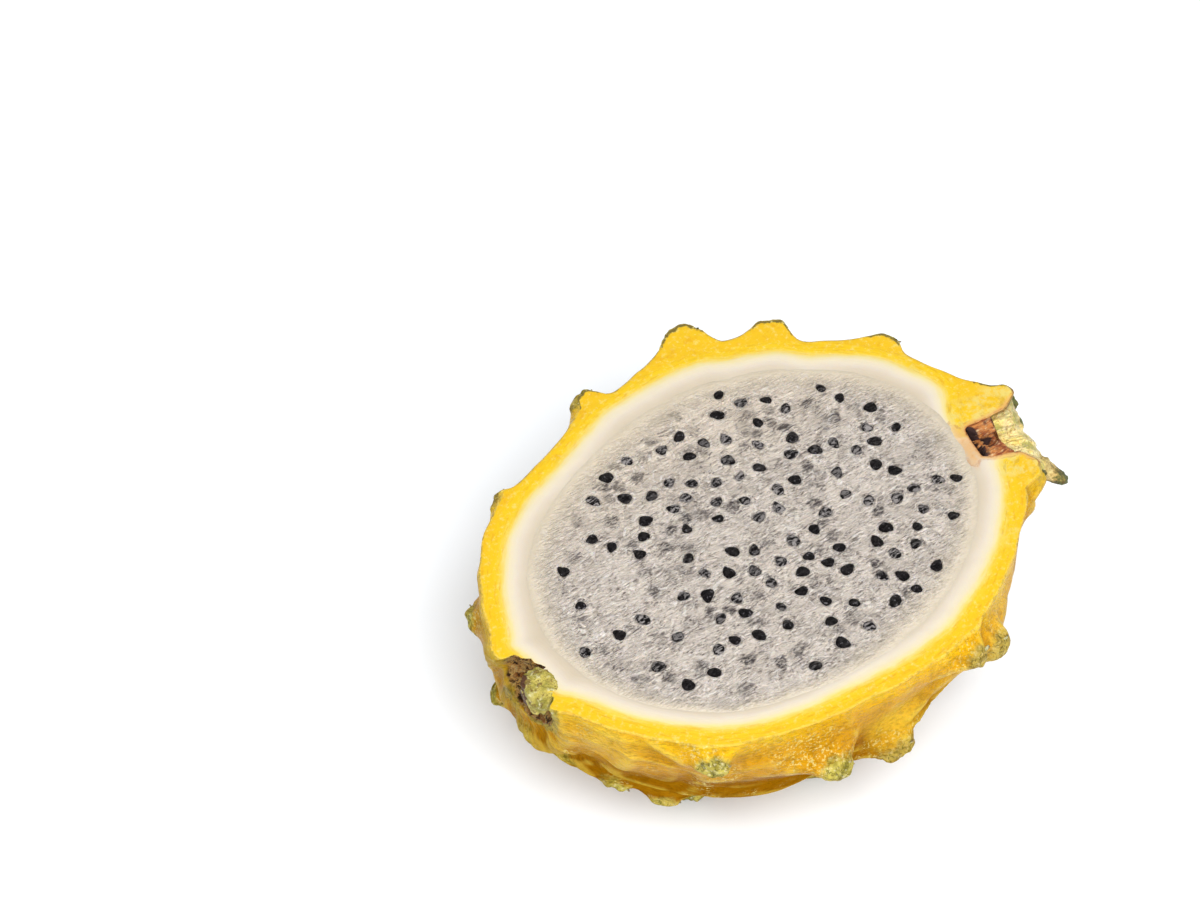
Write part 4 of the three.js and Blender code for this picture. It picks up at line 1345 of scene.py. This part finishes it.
def cut_material():
    """The cut rind and pith: bands by depth under the skin, grains and lines in the yellow, duller and
    browner towards the hollow, and the crusts of the tubercles that were cut."""
    material, look = start_material("cut_rind_and_pith")
    inset = look.mask("inset")
    yellow = look.ranged(inset, 3.6, 2.4)
    grains = look.ranged(look.speckle(1.0, 5.0, 0.7), 0.5, 0.7)
    lines = look.ranged(look.speckle(2.2, 4.0, 0.7, at=look.streaked(inset)), 0.52, 0.68)
    clouds = look.ranged(look.speckle(0.4, 4.0, 0.7), 0.42, 0.6)
    gap = look.mask("pit_gap")
    aged = look.times(yellow, look.ranged(gap, 14.0, 7.0))
    look.colour = look.grouped("Rind", {"Depth": inset})
    for noise_of, where, share, colour in [
            (grains, yellow, 0.6, (255, 236, 140)), (lines, yellow, 0.5, (232, 164, 20)),
            (clouds, aged, 0.8, (242, 222, 128)), (lines, aged, 0.5, (206, 176, 66))]:
        look.paint(look.times(look.times(noise_of, where), share), colour)
    fine = look.centred(look.speckle(1.1, 3.0, 0.6), 0.8)
    gap = look.plus(gap, look.times(fine, 2.2))
    margin = look.ranged(look.apart(gap, 1.75), 0.4, 0.1, 0.5)
    look.paint(look.times(margin, look.ranged(look.speckle(0.5), 0.45, 0.6)), (186, 112, 62))
    look.paint(look.ranged(gap, 2.2, 0.7, 0.75), (238, 184, 112))
    look.paint(look.ranged(gap, 0.9, 0.4, 0.6), (206, 140, 84))
    look.paint(look.ranged(gap, 0.3, 0.05), (132, 72, 44))
    crust = look.mixed(look.ranged(grains, 0.3, 0.7), (128, 112, 50), (222, 210, 130))
    tip = look.plus(look.mask("tip"), look.times(fine, 1.5))
    look.paint(look.ranged(tip, 0.25, 0.6), crust)
    look.finish({"Roughness": 0.4, "Specular IOR Level": 0.35, **glow((1.0, 0.6, 0.25), 0.0015)},
                look.grouped("Rind", {"Depth": inset}, 1), 0.0004, 0.5, 0.75)
    return material


def pulp_material():
    """Wet grey-white flesh: threads and fibres, pale and dark, painted wet glints, the shade of sunken seeds,
    dark dashes, a pale ring round each bare seed that is partly a painted wet sheen, and the rind's colours
    at its edge."""
    material, look = start_material("seedy_pulp")
    strands, glints, fine = (look.grouped("Threads", {"Place": look.place, "Scale": scale})
                             for scale in (1.6, 2.1, 2.9))
    look.colour = look.ramp(fine, [
        (0.37, (126, 117, 110)), (0.43, (192, 184, 174)), (0.50, (220, 212, 201)), (0.57, (233, 225, 214)),
        (0.63, (255, 250, 242))])
    # The glints noise: its pale flecks are painted wet glints among pale strands, its low end darker strands.
    look.paint(look.ranged(glints, 0.57, 0.63, 0.7), (255, 252, 247))
    look.paint(look.ranged(glints, 0.43, 0.37, 0.65), (112, 104, 98))
    look.paint(look.ranged(look.speckle(0.32, 4.0, 0.6), 0.46, 0.6, 0.75), (232, 224, 212))
    look.paint(look.ranged(look.along(1), 4.0, 30.0, 0.7), (242, 230, 210))
    look.paint(look.ranged(look.speckle(0.2), 0.45, 0.68, 0.35), (180, 177, 176), "MULTIPLY")
    grain = look.mask("grain")
    look.paint(look.ranged(grain, 0.5, 1.1, 0.75), (250, 246, 238))
    look.paint(look.ranged(grain, -0.4, -0.9, 0.45), (134, 126, 120))
    look.paint(look.times(look.mask("shade"), look.ranged(fine, 0.58, 0.42, 1.0, 0.35)), (34, 27, 33))
    look.paint(look.times(look.mask("near"), look.ranged(strands, 0.46, 0.40, 0.7)), (88, 80, 82))
    # Pale ring round each bare seed: its clear sac, with a painted wet sheen.
    look.paint(look.times(look.mask("ring"), look.ranged(fine, 0.44, 0.56, 0.8)), (250, 244, 234))
    look.paint(1.0, (255, 251, 250), "MULTIPLY")
    deep_in = look.mask("deep_in")
    look.paint(look.ranged(deep_in, 7.5, 0.5, 0.85), (208, 195, 172))
    inset = look.mask("inset")
    border = look.mixed(1.0, look.grouped("Rind", {"Depth": inset}), (223, 225, 224), "MULTIPLY")
    look.paint(look.ranged(look.plus(deep_in, look.times(fine, 3.0)), 4.0, 0.7), border)
    level = look.plus(look.times(look.grouped("Rind", {"Depth": inset}, 1), 0.5), 0.3)
    texture = look.plus(look.times(strands, 0.6), look.times(fine, 0.5))
    look.finish({"Roughness": 0.32, "Specular IOR Level": 0.4, **glow((1.0, 0.6, 0.25), 0.0012),
                 "Coat Weight": 0.2, "Coat Roughness": 0.1},
                look.blended(look.ranged(deep_in, 0.5, 4.5), level, texture), 0.0014, shade=0.92)
    return material


def seed_material():
    """Black seeds under thin pale strands, with a few glints."""
    material, look = start_material("black_seed")
    look.colour = look.mottled((10, 6, 8), (4, 3, 4), (52, 44, 50), (0.6, 1.3), (0.8, 0.3))
    strands = look.ranged(look.grouped("Threads", {"Place": look.place, "Scale": 1.7}), 0.47, 0.56)
    veil = look.plus(look.times(look.mask("veil"), 0.8), 0.04)
    look.paint(look.times(strands, veil), (178, 172, 170))
    look.paint(look.ranged(look.speckle(1.5, 3.0, 0.7), 0.6, 0.68, 0.55), (150, 146, 150))
    look.finish({"Roughness": 0.3, "Specular IOR Level": 0.1}, look.speckle(1.3, 3.0, 0.6), 0.0009, shade=0.7)
    return material


def scale_material(name, stops, flecks):
    """Dry scale: its colour changes along it, with darker flecks."""
    material, look = start_material(name)
    way = look.plus(look.mask("way"), look.centred(look.speckle(0.8, 4.0, 0.7), 1.4))
    along = look.ramp(way, stops)
    look.colour = look.mottled(along, along, flecks, (0.4, 1.1), (0.4, 0.8))
    look.finish({"Roughness": 0.7}, look.speckle(1.3, 4.0, 0.7), 0.0009, shade=0.9)
    return material


def cork_material():
    """Cork with a brown crust, partly painted shade in the crevice round the lump."""
    material, look = start_material("scar_cork")
    look.colour = look.grouped("Cork", {"Place": look.place})
    # Brown crust, partly painted shade in the crevice round the lump.
    look.paint(look.ranged(look.ragged("crust", 0.9, 1.1), 0.85, 1.2), (92, 54, 20))
    look.finish({"Roughness": 0.6}, look.speckle(0.9, 4.0, 0.75), 0.0014, shade=0.95)
    return material


def remnant_material():
    """Dry brown fibres, drawn out along the fruit, with painted shade between the lumps and a painted shadow
    at the hollow's inner end.
    """
    material, look = start_material("dry_flower", (0.4, 1, 1))
    look.colour = look.mottled((226, 146, 74), (146, 68, 28), (255, 224, 170), (1.1, 1.9), (1.0, 0.8))
    # Painted shade between the lumps and painted shadow at the hollow's inner end.
    look.paint(look.ranged(look.mask("lumps"), -0.2, -0.9), (56, 26, 20))
    look.finish({"Roughness": 0.7}, look.speckle(1.6, 4.0, 0.7), 0.0011, shade=0.95)
    return material


# ---------------------------------------------------------------- floor, light and camera


def make_floor():
    """A plain pale floor: one wide square at height 0."""
    size = 3.0
    corners = [(-size, -size, 0), (size, -size, 0), (size, size, 0), (-size, size, 0)]
    mesh = bpy.data.meshes.new("floor")
    mesh.from_pydata(corners, [], [(0, 1, 2, 3)])
    material = bpy.data.materials.new("pale_floor")
    material.use_nodes = True
    sockets = material.node_tree.nodes["Principled BSDF"].inputs
    sockets["Base Color"].default_value = (0.93, 0.965, 1.0, 1)
    sockets["Roughness"].default_value = 0.9
    sockets["Specular IOR Level"].default_value = 0.1
    mesh.materials.append(material)
    floor = bpy.data.objects.new("floor", mesh)
    bpy.context.scene.collection.objects.link(floor)


def add_light(name, place, size, energy):
    """A square soft light that faces the fruit."""
    data = bpy.data.lights.new(name, "AREA")
    data.size = size
    data.energy = energy
    light = bpy.data.objects.new(name, data)
    light.location = place
    light.rotation_euler = (Vector((0, 0, 0.02)) - Vector(place)).to_track_quat("-Z", "Y").to_euler()
    bpy.context.scene.collection.objects.link(light)


def light_scene():
    scene = bpy.context.scene
    world = bpy.data.worlds.new("studio")
    world.use_nodes = True
    background = world.node_tree.nodes["Background"]
    background.inputs["Color"].default_value = (1, 1, 1, 1)
    background.inputs["Strength"].default_value = 0.45
    scene.world = world
    scene.view_settings.view_transform = "Standard"
    add_light("overhead", (-0.16, -0.62, 1.0), 1.0, 18.3)
    add_light("key", (-0.75, 0.1, 0.8), 0.3, 1.6)


CAMERA = {"place": (-202.73, -247.91, 442.06), "azimuth": -34.497, "elevation": 50.0, "lens": 90.0}


def make_camera():
    """A camera level with the horizon, looking back along a direction given by azimuth and elevation."""
    data = bpy.data.cameras.new("camera")
    data.lens = CAMERA["lens"]
    data.sensor_width = 36.0
    data.clip_start = 0.01
    camera = bpy.data.objects.new("camera", data)
    azimuth, elevation = math.radians(CAMERA["azimuth"]), math.radians(CAMERA["elevation"])
    back = Vector((math.sin(azimuth) * math.cos(elevation), -math.cos(azimuth) * math.cos(elevation),
                   math.sin(elevation)))
    right = Vector((math.cos(azimuth), math.sin(azimuth), 0))
    up = back.cross(right)
    turn = Matrix((right, up, back)).transposed().to_4x4()
    camera.matrix_world = Matrix.Translation(Vector(CAMERA["place"]) * MM) @ turn
    bpy.context.scene.collection.objects.link(camera)
    bpy.context.scene.camera = camera


# ---------------------------------------------------------------- the whole

# Colours along a dry scale, from its root to its tip.
TUBERCLE_STOPS = [(0.0, (214, 178, 60)), (0.4, (188, 176, 90)), (0.75, (222, 216, 164)),
                  (1.0, (132, 104, 56))]
CROWN_STOPS = [(0.0, (250, 226, 150)), (0.16, (226, 188, 110)), (0.32, (150, 136, 64)), (0.5, (84, 88, 34)),
               (0.9, (116, 122, 66))]

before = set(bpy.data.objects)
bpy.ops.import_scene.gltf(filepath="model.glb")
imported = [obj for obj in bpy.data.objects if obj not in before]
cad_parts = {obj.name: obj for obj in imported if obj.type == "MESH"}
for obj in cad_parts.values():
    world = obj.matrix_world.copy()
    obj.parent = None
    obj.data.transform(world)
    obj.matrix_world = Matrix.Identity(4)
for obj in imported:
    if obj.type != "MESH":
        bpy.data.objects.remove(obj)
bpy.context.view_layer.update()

for make_group in (mottle_group, grain_group, cork_group, thread_group, rind_group):
    make_group()
seeds = seed_places()
rim = make_peel([skin_material(), cut_material()])
make_pulp(pulp_material(), seeds, sunken_places(seeds), rim)
make_seeds(seed_material(), seeds)
make_scales(scale_material("tubercle_scale", TUBERCLE_STOPS, (112, 112, 50)))
make_scar_cork(cork_material())
make_crown_scales(scale_material("crown_scale", CROWN_STOPS, (120, 72, 40)))
make_remnant(remnant_material())

make_floor()
light_scene()
make_camera()
